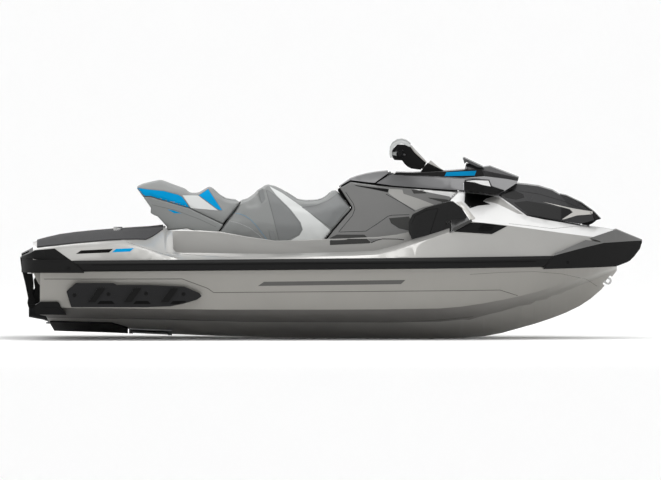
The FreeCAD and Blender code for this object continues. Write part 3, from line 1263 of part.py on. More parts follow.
# Gauge pod, its screen and the wind deflector.
POD_PX = [(465.4, 170.5), (466.4, 167.5), (466, 163.6), (469.5, 162.8), (479, 167.2), (483.3, 166.8),
          (490, 165.9),
          (518.8, 176.9), (517.6, 181), (484, 178), (466, 178)]
POD_PX_AND_SHARES = [
    (460, 0.20, 185, 0.19, 168, 0.13, 150),
    (485, 0.23, 185, 0.22, 170, 0.14, 150),
    (522, 0.26, 188, 0.25, 178, 0.14, 155),
]
SCREEN_PX = [(464.6, 170.0), (465.4, 170.1), (466.4, 164.8), (465.8, 164.6)]
SCREEN_SHARE = 0.11
DEFLECTOR_PX = [(462.8, 158.2), (464.0, 157.3), (482.8, 166.3), (479.2, 167.2), (466.5, 161.4),
                (464.6, 163.2)]
DEFLECTOR_PX_AND_SHARES = [
    (458, 0.28, 175, 0.26, 162, 0.20, 150),
    (486, 0.25, 178, 0.24, 168, 0.18, 150),
]
pod_solid = common("pod_solid", mould("pod_width", POD_PX_AND_SHARES, ONE_STEP),
                   side_slab("pod_side", elevation(POD_PX), out(WIDE_SHARE)))
gauge_pod = node(cut("gauge_pod", pod_solid, hood_mould, deck_inlay), "gauge_pod")
screen_slab = side_slab("screen_slab", elevation(SCREEN_PX), out(SCREEN_SHARE))
node(cut("gauge_screen", screen_slab, pod_solid, deck_inlay), "gauge_screen")
deflector_solid = common("deflector_solid", mould("deflector_width", DEFLECTOR_PX_AND_SHARES, ONE_STEP),
                         side_slab("deflector_side", elevation(DEFLECTOR_PX), out(WIDE_SHARE)))
node(cut("wind_deflector", deflector_solid, pod_solid), "wind_deflector")

# Mirrors on the hood's sides.
MIRROR_PX = [(464, 181.7), (464.7, 178.9), (474.7, 177.8), (489.1, 178.8), (492, 185.0), (504.4, 189.3),
             (497.7, 192.6), (484.3, 191.9), (464.2, 188.4)]
MIRROR_SHARES = (0.28, 0.72)
MIRROR_PLAN_PX_AND_SHARES = [(463, 0.28), (463, 0.69), (466, 0.71), (474, 0.705), (484, 0.66), (494, 0.57),
                             (501, 0.47),
                             (506, 0.36), (506, 0.28)]
MIRROR_ROWS_PX = (196, 174)
GLASS_ROWS_PX = (188.0, 181.7)
GLASS_SHARES = (0.45, 0.68)
mirror_side = starboard_slab("mirror_side", elevation(MIRROR_PX), out(MIRROR_SHARES[0]),
                             out(MIRROR_SHARES[1]))
mirror_plan = slab("mirror_plan", "plan", [[(along(px), -out(share)) for px,
                                            share in MIRROR_PLAN_PX_AND_SHARES]],
                   up(MIRROR_ROWS_PX[0]), up(MIRROR_ROWS_PX[1]))
mirror_block = common("mirror_block", mirror_side, mirror_plan)
node(pair("mirror_housings", cut("starboard_mirror", mirror_block, hood_mould)), "mirror_housings")
glass_face = along(MIRROR_PX[0][0])
starboard_glass = block("starboard_glass", (glass_face - size.skin, -out(GLASS_SHARES[1]),
                                            up(GLASS_ROWS_PX[0])),
                        (glass_face - size.seat_gap, -out(GLASS_SHARES[0]), up(GLASS_ROWS_PX[1])))
node(pair("mirror_glasses", starboard_glass), "mirror_glasses")

# Speaker pods at the footwells' front ends.
SPEAKER_PX = [(408.7, 220.4), (412.5, 212.7), (425.9, 205.7), (449, 199.5), (453, 199.5), (461.8, 206),
              (469.3, 218.8),
              (452, 227.8), (431, 235.7), (416.4, 241.2), (413.2, 238.9), (408.7, 230.6)]
SPEAKER_SHARES = (0.47, 0.82)
SPEAKER_PLAN_PX_AND_SHARES = [(406, 0.47), (406, 0.73), (409, 0.76), (420, 0.79), (436, 0.80), (472, 0.80),
                              (472, 0.47)]
SPEAKER_ROWS_PX = (246, 196)
speaker_side = starboard_slab("speaker_side", elevation(SPEAKER_PX), out(SPEAKER_SHARES[0]),
                              out(SPEAKER_SHARES[1]))
speaker_plan = slab("speaker_plan", "plan", [[(along(px), -out(share)) for px,
                                              share in SPEAKER_PLAN_PX_AND_SHARES]],
                    up(SPEAKER_ROWS_PX[0]), up(SPEAKER_ROWS_PX[1]))
speaker_block = common("speaker_block", speaker_side, speaker_plan)
node(pair("speakers", cut("starboard_speaker", speaker_block, deck, cowl_mould, console_solid)), "speakers")

# Steering: a neck that turns on a spindle leaning back from the hood.
STEERING_PX = (423.5, 166.3)
SPINDLE = FreeCAD.Vector(-0.783, 0, 0.622)
steer_x = along(STEERING_PX[0])
steer_z = up(STEERING_PX[1])


def on_spindle(run, rise):
    """A place on the centre plane, a run up the spindle and a rise square to it."""
    return (steer_x + run * SPINDLE.x + rise * SPINDLE.z, steer_z + run * SPINDLE.z - rise * SPINDLE.x)


BASE_PX = [(443.5, 170.2), (443.5, 174), (418.6, 174)]
base_drop = size.neck_drop + size.neck_drop * LUG_SHARE
base_outline = [on_spindle(-size.panel_gap, size.neck_rise)] + elevation(BASE_PX) + [
    on_spindle(-size.panel_gap, -base_drop)]
base_solid = side_slab("base_solid", base_outline, size.neck_half_width)
spindle = cylinder("spindle", size.spindle_radius, size.spindle_length * LONGER,
                   on_spindle(size.spindle_length * -HALF, ZERO)[:1] + (ZERO,) + on_spindle(
                       size.spindle_length * -HALF, ZERO)[1:], SPINDLE)
node(cut("steering_base", fuse("base_raw", base_solid, spindle), hood_mould, deck_inlay), "steering_base")

BAR_PX = (399.5, 152.8)
bar_x = along(BAR_PX[0])
bar_z = up(BAR_PX[1])
bar_rod = node(cylinder("bar_rod", size.bar_radius, (size.bar_half_length - size.pump_wall) * TWICE,
                        (bar_x, size.pump_wall - size.bar_half_length, bar_z), PORT), "handlebar")
NECK_PX = [(411.1, 168.4), (407.3, 166.4), (404.4, 163.6), (402, 160.2), (394.4, 159.9), (391.8, 156.5),
           (391.9, 150),
           (397.5, 144.4), (409, 144.9), (414.6, 152.6)]
COVER_PX = [(414.6, 152.6), (409, 144.9), (410.5, 144.2), (416.0, 150.2)]
neck_top = on_spindle(ZERO, size.neck_rise)
neck_seam = on_spindle(ZERO, size.neck_rise - size.cover_thickness)
neck_solid = side_slab("neck_solid", elevation(NECK_PX) + [neck_seam, on_spindle(ZERO, -size.neck_drop)],
                       size.neck_half_width)
spindle_bore = cylinder("spindle_bore", size.spindle_radius + size.run_gap, size.spindle_length * THRICE,
                        on_spindle(-size.spindle_length, ZERO)[:1] + (ZERO,) + on_spindle(
                            -size.spindle_length, ZERO)[1:], SPINDLE)
spindle_room = cylinder("spindle_room", size.spindle_radius + size.run_gap,
                        size.spindle_length + size.panel_gap,
                        (steer_x, ZERO, steer_z), SPINDLE)
node(cut("steering_neck", neck_solid, bar_rod, spindle_room), "steering_neck")
node(side_slab("neck_cover_solid", elevation(COVER_PX) + [neck_top, neck_seam], size.neck_half_width),
     "neck_cover")

grip_base = (bar_x, -size.bar_half_length, bar_z)
flange_base = (bar_x, size.grip_length - size.bar_half_length - size.flange_thickness, bar_z)
grip_raw = fuse("grip_raw", cylinder("grip_tube", size.grip_radius, size.grip_length, grip_base, PORT),
                cylinder("grip_flange", size.flange_radius, size.flange_thickness, flange_base, PORT))
node(pair("grips", cut("starboard_grip", grip_raw, bar_rod)), "grips")

PALM_PX = [(390.2, 156.6), (389.4, 152.5), (389.9, 148.0), (392.4, 143.4), (397.2, 140.3), (402, 139.6),
           (406.8, 141.1),
           (410.8, 144.4), (409.6, 145.6), (405.4, 143.6), (402, 142.2), (397.8, 142.9), (394.4,
               145.4), (392.3, 149.0),
           (391.8, 152.5), (392.6, 156.2)]
PALM_RIB_PX = [(391.5, 153.5), (391.5, 151.0), (399, 150.5), (399, 155)]
palm_in = size.bar_half_length - size.grip_length + size.palm_rest_inset
palm_out = size.bar_half_length - size.palm_rest_inset
palm_solid = fuse("palm_solid", starboard_slab("palm_band", elevation(PALM_PX), palm_in, palm_out),
                  starboard_slab("palm_rib", elevation(PALM_RIB_PX), palm_in + size.grip_length * RIB_SHARE,
                                 palm_out - size.grip_length * RIB_SHARE))
palm_clear = cylinder("palm_clear", size.grip_radius, size.grip_length, grip_base, PORT)
node(pair("palm_rests", cut("starboard_palm", palm_solid, palm_clear)), "palm_rests")

doc.recompute()
faults = [o.Label for o in doc.Objects if "Invalid" in o.State or "Error" in o.State]
for solid in NODES:
    if solid.Shape.isNull() or not solid.Shape.isValid() or not solid.Shape.Solids:
        faults.append(solid.Label)
if faults:
    raise SystemExit(f"these objects did not build: {faults}")

os.makedirs("parts", exist_ok=True)
for solid in NODES:
    solid.Shape.exportStep(f"parts/{solid.Label}.step")
    print(solid.Label, len(solid.Shape.Solids), "solids", round(solid.Shape.Volume / MM3_PER_LITRE, PLACES),
          "litres")
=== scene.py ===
"""Looks of a personal watercraft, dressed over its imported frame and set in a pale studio."""

import logging
import math
from dataclasses import dataclass, field
from enum import Enum
from typing import Callable, NamedTuple, Optional, Sequence

import bmesh
import bpy
from bmesh.types import BMesh, BMFace, BMVert
from bpy.types import Material, Node, NodeSocket, NodeTree, Object
from mathutils import Matrix, Vector
from mathutils.bvhtree import BVHTree


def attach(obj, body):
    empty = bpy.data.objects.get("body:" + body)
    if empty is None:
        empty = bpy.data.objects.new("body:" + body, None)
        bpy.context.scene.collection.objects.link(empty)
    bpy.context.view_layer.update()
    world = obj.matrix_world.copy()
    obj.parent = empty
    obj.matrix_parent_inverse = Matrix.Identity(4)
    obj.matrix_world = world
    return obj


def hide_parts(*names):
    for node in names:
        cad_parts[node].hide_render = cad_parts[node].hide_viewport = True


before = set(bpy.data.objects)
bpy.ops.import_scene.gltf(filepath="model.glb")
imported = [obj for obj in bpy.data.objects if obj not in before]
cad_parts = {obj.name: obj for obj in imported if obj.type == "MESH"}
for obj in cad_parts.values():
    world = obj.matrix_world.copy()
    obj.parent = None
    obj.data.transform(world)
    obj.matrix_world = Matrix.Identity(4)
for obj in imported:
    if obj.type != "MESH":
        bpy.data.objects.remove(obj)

LOG = logging.getLogger("watercraft")
MM = 0.001

# The side elevation that outlines are drawn on: columns run to the bow, rows run down.
FRAME_PX = (661.0, 480.0)
MIDSHIP_PX = 330.5
WATERLINE_PX = 287.0
COLUMN_M = 3.450 / 623.0
ROW_M = 0.817 / 147.5
DRAFT_ROW_M = 0.285 / 51.5
KEEL_Z = -0.285
HALF_HULL = 0.6005

# Where a carrier's rays start, and in how many steps a place that misses is drawn inwards.
RAY_START_M = 1.5
PULL_STEPS = 40

# Distances within which corners are joined, and bends below and above which edges go or stay.
JOIN_M = 0.02 * MM
TRIM_JOIN_M = 0.3 * MM
FLAT_BEND = math.radians(0.3)
SHARP_BEND = math.radians(40)

# Lays what Blender draws flat across the craft.
ACROSS = Matrix.Rotation(math.radians(90), 4, "X")

# Share of a grain that brushed lines take lengthwise, and threads of webbing to a grain.
BRUSHED_SHARE = 0.02
THREADS = 0.3

Pixels = Sequence[tuple[float, float]]
Point = tuple[float, float, float]


def along(px: float) -> float:
    """Place along the hull, in metres, of a column of the side elevation."""
    return (px - MIDSHIP_PX) * COLUMN_M


def up(py: float) -> float:
    """Height, in metres, of a row of the side elevation."""
    return (WATERLINE_PX - py) * (ROW_M if py <= WATERLINE_PX else DRAFT_ROW_M)


def row_at(line: Pixels, px: float) -> float:
    """Finds the row at which a line crosses a column.

    Args:
        line: Columns and rows, from stern to bow.
        px: A column between the line's ends.

    Returns:
        The row.
    """
    ends = next(pair for pair in zip(line, line[1:]) if pair[0][0] <= px <= pair[1][0])
    (px_1, row_1), (px_2, row_2) = ends
    return row_1 + (row_2 - row_1) * (px - px_1) / (px_2 - px_1)


def linear(code: str) -> tuple[float, float, float, float]:
    """Turns an sRGB hex colour into the linear values that shaders take.

    Args:
        code: Six hex digits after a hash sign.

    Returns:
        Red, green, blue and a full alpha.
    """
    shares = [int(code[i:i + 2], 16) / 255 for i in (1, 3, 5)]
    return (*[s / 12.92 if s <= 0.04045 else ((s + 0.055) / 1.055) ** 2.4 for s in shares], 1.0)


def add_node(tree: NodeTree, kind: str, settings: Optional[dict] = None,
             links: Optional[dict] = None) -> Node:
    """Adds one node to a tree.

    Args:
        tree: The material's or world's node tree.
        kind: The node's type name.
        settings: Values by input name, input number or property name.
        links: Output sockets by the input name or number that they feed.

    Returns:
        The new node.
    """
    node = tree.nodes.new(kind)
    for key, value in (settings or {}).items():
        if isinstance(key, int) or key in node.inputs:
            node.inputs[key].default_value = value
        else:
            setattr(node, key, value)
    for key, socket in (links or {}).items():
        tree.links.new(socket, node.inputs[key])
    return node


class Surface(Enum):
    """How a finish's surface was made, which decides the relief that it shows."""

    SPRAYED = "gelcoat or paint, with faint orange peel"
    MOULDED = "injection moulding with an eroded texture"
    GRAINED = "marine vinyl with an embossed leather grain"
    BRUSHED = "metal drawn lengthwise"
    CAST = "die casting, blasted"
    WOVEN = "webbing or cord"
    FOAM = "closed-cell foam, planed, with routed grooves"
    POLISHED = "glass or plated metal, without relief"


SPRAYED, MOULDED, GRAINED, BRUSHED, CAST, WOVEN, FOAM, POLISHED = Surface


@dataclass(frozen=True)
class Finish:
    """One material, from its real name, its colour and how its surface was made."""

    name: str
    colour: str
    surface: Surface
    roughness: float = 0.5
    grain_mm: float = 3.0
    relief_mm: float = 0.05
    mottle: float = 0.06
    specular: float = 0.5
    coat: float = 0.0
    metallic: float = 0.0
    # Painted light: a colour that the finish runs into towards the bow, and the columns over which it does
    # so.
    bow_painted_light: str = ""
    bow_painted_light_px: tuple[float, float] = (440.0, 580.0)
    wear: float = 0.05

    def relief(self, tree: NodeTree, place: NodeSocket) -> Optional[NodeSocket]:
        """Builds the height pattern of the surface.

        Args:
            tree: The material's node tree.
            place: Object coordinates.

        Returns:
            The height socket, or nothing for a polished surface.
        """
        scale = 1.0 / (self.grain_mm * MM)
        if self.surface is POLISHED:
            return None
        if self.surface is GRAINED:
            cells = add_node(tree, "ShaderNodeTexVoronoi", {"Scale": scale, "feature": "DISTANCE_TO_EDGE"},
                             {"Vector": place})
            return add_node(tree, "ShaderNodeMapRange",
                            {"From Max": 0.18, "interpolation_type": "SMOOTHSTEP"},
                            {"Value": cells.outputs["Distance"]}).outputs["Result"]
        if self.surface is BRUSHED:
            drawn = add_node(tree, "ShaderNodeMapping", {"Scale": (scale * BRUSHED_SHARE, scale, scale)},
                             {"Vector": place})
            return add_node(tree, "ShaderNodeTexNoise", {"Scale": 1.0, "Detail": 2.0},
                            {"Vector": drawn.outputs["Vector"]}).outputs["Fac"]
        if self.surface is WOVEN:
            turned = add_node(tree, "ShaderNodeMapping", {"Rotation": (0.0, 0.0, math.radians(45))},
                              {"Vector": place})
            return add_node(tree, "ShaderNodeTexWave", {"Scale": scale * THREADS, "Distortion": 0.6},
                            {"Vector": turned.outputs["Vector"]}).outputs["Fac"]
        if self.surface is FOAM:
            return add_node(tree, "ShaderNodeTexBrick",
                            {"Scale": 1.0, "Mortar Size": 0.0022, "Mortar Smooth": 0.3, "Brick Width": 0.09,
                             "Row Height": 0.03, "Color1": (1, 1, 1, 1), "Color2": (1, 1, 1, 1),
                             "Mortar": (0, 0, 0, 1)}, {"Vector": place}).outputs["Color"]
        return add_node(tree, "ShaderNodeTexNoise", {"Scale": scale, "Detail": 3.0, "Roughness": 0.55},
                        {"Vector": place}).outputs["Fac"]

    def base_colour(self, tree: NodeTree, place: NodeSocket,
                    cloud: NodeSocket) -> NodeSocket:
        """Builds the colour: faintly clouded and, for some, running out into another towards the bow, which
        is painted light.

        Args:
            tree: The material's node tree.
            place: Object coordinates.
            cloud: A slow noise.

        Returns:
            The colour socket.
        """
        *rgb, alpha = linear(self.colour)
        low, high = ((*[value * share for value in rgb], alpha)
                     for share in (1 - self.mottle, 1 + self.mottle))
        tone = add_node(tree, "ShaderNodeMix", {"data_type": "RGBA", 6: low, 7: high}, {0: cloud}).outputs[2]
        if not self.bow_painted_light:
            return tone
        ahead = add_node(tree, "ShaderNodeSeparateXYZ", {}, {"Vector": place}).outputs["X"]
        aft_end, bow_end = (along(px) for px in self.bow_painted_light_px)
        share = add_node(tree, "ShaderNodeMapRange", {"From Min": aft_end, "From Max": bow_end},
                         {"Value": ahead})
        return add_node(tree, "ShaderNodeMix", {"data_type": "RGBA", 7: linear(self.bow_painted_light)},
                        {0: share.outputs["Result"], 6: tone}).outputs[2]

    def material(self) -> Material:
        """Makes the material on the first call.

        Returns:
            The same material on every call.
        """
        made = bpy.data.materials.get(self.name)
        if made is not None:
            return made
        made = bpy.data.materials.new(self.name)
        made.use_nodes = True
        tree = made.node_tree
        tree.nodes.clear()
        place = add_node(tree, "ShaderNodeTexCoord").outputs["Object"]
        cloud = add_node(tree, "ShaderNodeTexNoise", {"Scale": 7.0, "Detail": 4.0},
                         {"Vector": place}).outputs["Fac"]
        sheen = add_node(tree, "ShaderNodeMapRange", {"To Min": max(0.02, self.roughness - self.wear),
                                                      "To Max": min(1.0, self.roughness + self.wear)},
                         {"Value": cloud})
        links = {"Base Color": self.base_colour(tree, place, cloud), "Roughness": sheen.outputs["Result"]}
        height = self.relief(tree, place)
        if height is not None:
            bump = add_node(tree, "ShaderNodeBump", {"Strength": 0.6, "Distance": self.relief_mm * MM},
                            {"Height": height})
            links["Normal"] = bump.outputs["Normal"]
        shader = add_node(tree, "ShaderNodeBsdfPrincipled",
                          {"Metallic": self.metallic, "Coat Weight": self.coat, "Coat Roughness": 0.06,
                           "Specular IOR Level": self.specular}, links)
        add_node(tree, "ShaderNodeOutputMaterial", {}, {"Surface": shader.outputs["BSDF"]})
        return made


# Each finish gives its roughness, then grain and relief in millimetres, mottle, specular, coat and metallic.
# Gelcoats have a metallic base under a clear coat, so highlights are tight over a soft body tone.
HULL_GELCOAT = Finish("hull_gelcoat_warm_silver", "#8f8d88", SPRAYED, 0.38, 6, 0.02, 0.03, 0.3, 0.35, 0.35)
# The dark bottom runs paler and the keel darker towards the bow, into one tone: painted light.
BOTTOM_GELCOAT = Finish("hull_gelcoat_dark_bottom", "#62605d", SPRAYED, 0.4, 6, 0.02, 0.04, 0.2, 0.2, 0.2,
                        "#92908b")
# The keel's panels below the strake are the bottom's gelcoat painted paler: painted light from the floor.
KEEL_PAINTED_FLOOR_LIGHT = Finish("hull_gelcoat_keel", "#acaaa6", SPRAYED, 0.4, 6, 0.02, 0.04, 0.2, 0.2, 0.2, "#92908b")
DECK_GELCOAT = Finish("deck_gelcoat_silver", "#a3a29f", SPRAYED, 0.34, 6, 0.02, 0.03, 0.35, 0.5, 0.35)
PALE_GELCOAT = Finish("cowl_gelcoat_white", "#dcdcdb", SPRAYED, 0.3, 6, 0.02, 0.02, 0.5, 0.7, 0.1)
BRIGHT_TRIM = Finish("satin_silver_trim", "#b9b7b3", SPRAYED, 0.35, 4, 0.02, 0.03, 0.5, 0.3, 0.5)
GREY_SHELL = Finish("painted_abs_graphite", "#5c5c5d", SPRAYED, 0.32, 5, 0.02, 0.04, 0.3, 0.5, 0.35)
BLACK_GLOSS = Finish("abs_gloss_black", "#0d0d0d", SPRAYED, 0.24, 5, 0.02, 0.05, 0.15, 0.25)
CHARCOAL_GLOSS = Finish("abs_gloss_charcoal", "#272728", SPRAYED, 0.28, 5, 0.02, 0.05, 0.2, 0.3, 0.1)
CONSOLE_SHELL = Finish("console_polypropylene_grey", "#727271", MOULDED, 0.42, 2.5, 0.06, 0.04, 0.35, 0.25,
                       0.15)
TAIL_SHELL = Finish("tail_polypropylene_grey", "#868887", MOULDED, 0.45, 2.5, 0.06, 0.04, 0.35, 0.15, 0.1)
BUMPER_RUBBER = Finish("bumper_thermoplastic_black", "#111111", MOULDED, 0.5, 2.5, 0.12, 0.08, 0.15)
BUMPER_TOP = Finish("bumper_cap_grey", "#565655", MOULDED, 0.45, 2.5, 0.08, 0.05, 0.5, 0.1, 0.1)
# Dark plastic for the skirts and the vent surround, and painted shade for the console's shaded patches and
# pocket.
POCKET_SHADE = Finish("console_polypropylene_dark", "#3b3b3a", MOULDED, 0.5, 2.5, 0.06, 0.06, 0.2, 0.05)
SPONSON_FACE = Finish("sponson_polypropylene_charcoal", "#1d1d1e", MOULDED, 0.45, 2.5, 0.1, 0.08, 0.15)
TRIM_PLASTIC = Finish("trim_polypropylene_black", "#0e0e0e", MOULDED, 0.48, 2.5, 0.12, 0.08, 0.12)
GRILLE_PLASTIC = Finish("grille_nylon_black", "#070707", MOULDED, 0.6, 2, 0.1, 0.1, 0.08)
SEAT_VINYL = Finish("marine_vinyl_grey", "#7f8180", GRAINED, 0.52, 3.5, 0.12, 0.04, 0.5, 0.05)
SEAT_DARK = Finish("marine_vinyl_dark_grey", "#737575", GRAINED, 0.5, 3.5, 0.12, 0.04, 0.5, 0.05)
SEAT_LIGHT = Finish("marine_vinyl_pale_grey", "#c9cbca", GRAINED, 0.5, 3.5, 0.1, 0.03, 0.5, 0.05)
SEAT_BLUE = Finish("marine_vinyl_blue", "#008cc4", GRAINED, 0.5, 3.5, 0.1, 0.04, 0.04)
BLUE_FILM = Finish("accent_film_blue", "#008cc4", SPRAYED, 0.4, 4, 0.01, 0.03, 0.05)
STRIPE_FILM = Finish("stripe_film_charcoal", "#4a4947", SPRAYED, 0.4, 4, 0.01, 0.03, 0.5, 0.2, 0.1)
SEAT_TOP = Finish("marine_vinyl_mid_grey", "#989a99", GRAINED, 0.52, 3.5, 0.12, 0.03, 0.5, 0.05)
WELT_GREY = Finish("seam_cord_grey", "#5e6060", WOVEN, 0.7, 1.5, 0.1, 0.08)
THREAD_BLUE = Finish("stitch_thread_blue", "#3d8fb5", WOVEN, 0.6, 1.5, 0.1, 0.05)
# Black for seam and panel lines and the dark stripe, and painted shade for the dark strips in the gaps
# between parts.
SEAM_SHADOW = Finish("black_lines_and_painted_gap_shade", "#080808", MOULDED, 0.7, 2, 0.05, 0.1, 0.1)
HULL_LINE = Finish("hull_groove_shadow", "#494743", SPRAYED, 0.5, 4, 0.01, 0.05, 0.5, 0, 0.2)
STRAP_WEB = Finish("strap_webbing_grey", "#767878", WOVEN, 0.75, 2.5, 0.25, 0.05)
FOAM_MAT = Finish("traction_foam_grey", "#3f3f40", FOAM, 0.85, 3, 1.6, 0.08, 0.2)
CAST_ALLOY = Finish("cast_aluminium", "#8f9092", CAST, 0.45, 2, 0.12, 0.06, 0.5, 0, 1)
BLACK_CAST = Finish("black_anodised_casting", "#1b1c1d", CAST, 0.45, 2, 0.12, 0.06, 0.2, 0, 0.6)
STAINLESS = Finish("stainless_steel", "#c0c0bf", BRUSHED, 0.25, 1.5, 0.02, 0.04, 0.5, 0, 1)
BLACK_METAL = Finish("powder_coated_steel_black", "#0c0c0d", MOULDED, 0.4, 2, 0.05, 0.06, 0.25)
GRIP_RUBBER = Finish("grip_rubber_black", "#0d0d0e", MOULDED, 0.7, 1.5, 0.15, 0.08, 0.12)
PALM_REST = Finish("palm_rest_elastomer_pale", "#b4b6b5", MOULDED, 0.55, 2, 0.08, 0.03, 0.3)
DARK_LENS = Finish("display_lens_black", "#060708", POLISHED, 0.08, 1, 0, 0.02, 0.15, 0.1)
MIRROR_GLASS = Finish("mirror_glass", "#d4d7d9", POLISHED, 0.03, 1, 0, 0.01, 0.5, 0, 1)


class Home(NamedTuple):
    """Where a piece belongs: the body that it rides on and the record's material slot."""

    body: str
    slot: str


HULL = Home("craft", "hull_gelcoat")
DECK = Home("craft", "deck_gelcoat")
COWL = Home("craft", "pale_gelcoat")
BUMPERS = Home("craft", "black_bumper")
TRIMS = Home("craft", "black_trim")
CONSOLE = Home("craft", "console_moulding")
SEAT = Home("craft", "seat_vinyl")
CASTINGS = Home("craft", "cast_alloy")
FITTINGS = Home("craft", "stainless")
MATS = Home("craft", "foam_mat")
HOOD = Home("hood", "grey_moulding")
HOOD_TRIMS = Home("hood", "black_trim")
HOOD_COVER = Home("hood", "silver_moulding")
BONNET = Home("hood", "black_moulding")
MIRRORS = Home("hood", "mirror_shell")
BAR = Home("handlebar", "black_metal")
BAR_TRIMS = Home("handlebar", "black_trim")
BAR_GRIPS = Home("handlebar", "grip_rubber")
LADDER = Home("ladder", "black_trim")


def piece_from(name: str, bm: BMesh, finishes: Sequence[Finish], home: Home) -> Object:
    """Turns a bmesh into a piece of the model.

    Args:
        name: The piece's name.
        bm: The finished mesh, which is freed.
        finishes: Materials, in the order of the faces' material numbers.
        home: The piece's body and slot.

    Returns:
        The new object, at the origin.
    """
    mesh = bpy.data.meshes.new(name)
    bm.to_mesh(mesh)
    bm.free()
    for finish in finishes:
        mesh.materials.append(finish.material())
    mesh.polygons.foreach_set("use_smooth", [True] * len(mesh.polygons))
    piece = bpy.data.objects.new(name, mesh)
    bpy.context.scene.collection.objects.link(piece)
    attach(piece, home.body)
    LOG.info("%s: %d faces", name, len(mesh.polygons))
    return piece


def soften(piece: Object, radius_mm: float, angle: float = 28.0) -> None:
    """Rounds a piece's edges and smooths its gentle ones.

    Args:
        piece: The object.
        radius_mm: Width of the rounding.
        angle: Edges sharper than this, in degrees, are rounded.
    """
    piece.data.set_sharp_from_angle(angle=math.radians(angle))
    bevel = piece.modifiers.new("rounding", "BEVEL")
    bevel.width = radius_mm * MM
    bevel.segments = 2
    bevel.limit_method = "ANGLE"
    bevel.angle_limit = math.radians(angle)
    bevel.miter_outer = "MITER_ARC"
    bevel.harden_normals = True


def merged_copy(node: str) -> BMesh:
    """Copies a CAD node's mesh, with its corners joined and its flat faces whole.

    Args:
        node: The CAD node.

    Returns:
        The new bmesh.
    """
    bm = bmesh.new()
    bm.from_mesh(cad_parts[node].data)
    bmesh.ops.remove_doubles(bm, verts=bm.verts, dist=JOIN_M)
    bmesh.ops.dissolve_degenerate(bm, edges=bm.edges, dist=JOIN_M)
    bmesh.ops.dissolve_limit(bm, verts=bm.verts, edges=bm.edges, angle_limit=FLAT_BEND)
    return bm


def skin(home: Home, node: str, finishes: Sequence[Finish], radius_mm: float, angle: float = 30.0,
         choose: Optional[Callable[[Vector, Vector], int]] = None) -> Object:
    """Makes the visible skin that stands for a CAD node, with rounded edges.

    Args:
        home: The skin's body and slot.
        node: The CAD node.
        finishes: The skin's finishes.
        radius_mm: Width of the rounding.
        angle: Edges sharper than this, in degrees, are rounded.
        choose: Gives the number of a face's finish from its middle and direction.

    Returns:
        The finished piece.
    """
    bm = merged_copy(node)
    if choose is not None:
        for face in bm.faces:
            face.material_index = choose(face.calc_center_median(), face.normal)
    piece = piece_from(f"{node}_skin", bm, finishes, home)
    soften(piece, radius_mm, angle)
    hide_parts(node)
    return piece


class Look(Enum):
    """The direction in which a detail is laid onto what carries it."""

    SIDE = "side"
    TOP = "top"

    def place(self, px: float, other: float) -> Vector:
        """A point from its column and its row or, from the top, its share of the half width."""
        return Vector((along(px), 0, up(other)) if self is Look.SIDE else (along(px), -other * HALF_HULL, 0))


@dataclass
class Carrier:
    """The surface that details are laid on: one or more finished pieces."""

    pieces: Sequence[Object]
    tree: BVHTree = field(init=False)

    def __post_init__(self) -> None:
        """Gathers the pieces, with their roundings, into one tree for casting rays."""
        graph = bpy.context.evaluated_depsgraph_get()
        gathered = bmesh.new()
        for piece in self.pieces:
            mesh = piece.evaluated_get(graph).to_mesh()
            gathered.from_mesh(mesh)
            piece.evaluated_get(graph).to_mesh_clear()
        self.tree = BVHTree.FromBMesh(gathered)
        gathered.free()

    def seat(self, place: Vector, look: Look, lift: float,
             middle: Optional[Vector] = None) -> Optional[Vector]:
        """Finds the point of the surface under a place.

        Args:
            place: A point; the coordinate along the look is ignored.
            look: The side or the top.
            lift: How far the result stands off the surface, in metres.
            middle: Where a place that misses the surface is drawn towards, step by step.

        Returns:
            The point on the surface, moved out by the lift, or nothing where the surface is missed.
        """
        way = Vector((0, 1, 0)) if look is Look.SIDE else Vector((0, 0, -1))
        for step in range(PULL_STEPS if middle else 1):
            aim = place.lerp(middle, step / PULL_STEPS) if middle else place
            start = Vector((aim.x, -RAY_START_M, aim.z) if look is Look.SIDE
                           else (aim.x, aim.y, RAY_START_M))
            found, normal, _, _ = self.tree.ray_cast(start, way)
            if found is not None:
                return found + (-normal if normal.dot(way) > 0 else normal) * lift
        return None


def mirrored(bm: BMesh) -> BMesh:
    """Adds the port half to a starboard mesh and turns its faces outwards.

    Args:
        bm: The starboard half.

    Returns:
        The same bmesh, whole.
    """
    bmesh.ops.mirror(bm, geom=bm.verts[:] + bm.edges[:] + bm.faces[:], matrix=Matrix.Identity(4),
                     merge_dist=-1.0, axis="Y")
    bmesh.ops.recalc_face_normals(bm, faces=bm.faces)
    return bm


@dataclass(frozen=True)
class Detail:
    """A piece that the looks add: a name, a finish and a path of columns and rows to starboard."""

    name: str
    finish: Finish
    path: Sequence[tuple[float, ...]]

    def mesh(self, carrier: Optional[Carrier]) -> BMesh:
        """Makes the detail's mesh; each kind of detail has its own way."""
        raise NotImplementedError

    def edge(self, piece: Object) -> None:
        """Keeps the finished piece's sharp edges."""
        piece.data.set_sharp_from_angle(angle=SHARP_BEND)


def lay(home: Home, carrier: Optional[Carrier], *details: Detail) -> None:
    """Builds details one after the other.

    Args:
        home: Their body and slot.
        carrier: The surface under them; edge strips and ribs need none.
        details: What is built.
    """
    for detail in details:
        detail.edge(piece_from(detail.name, detail.mesh(carrier), [detail.finish], home))


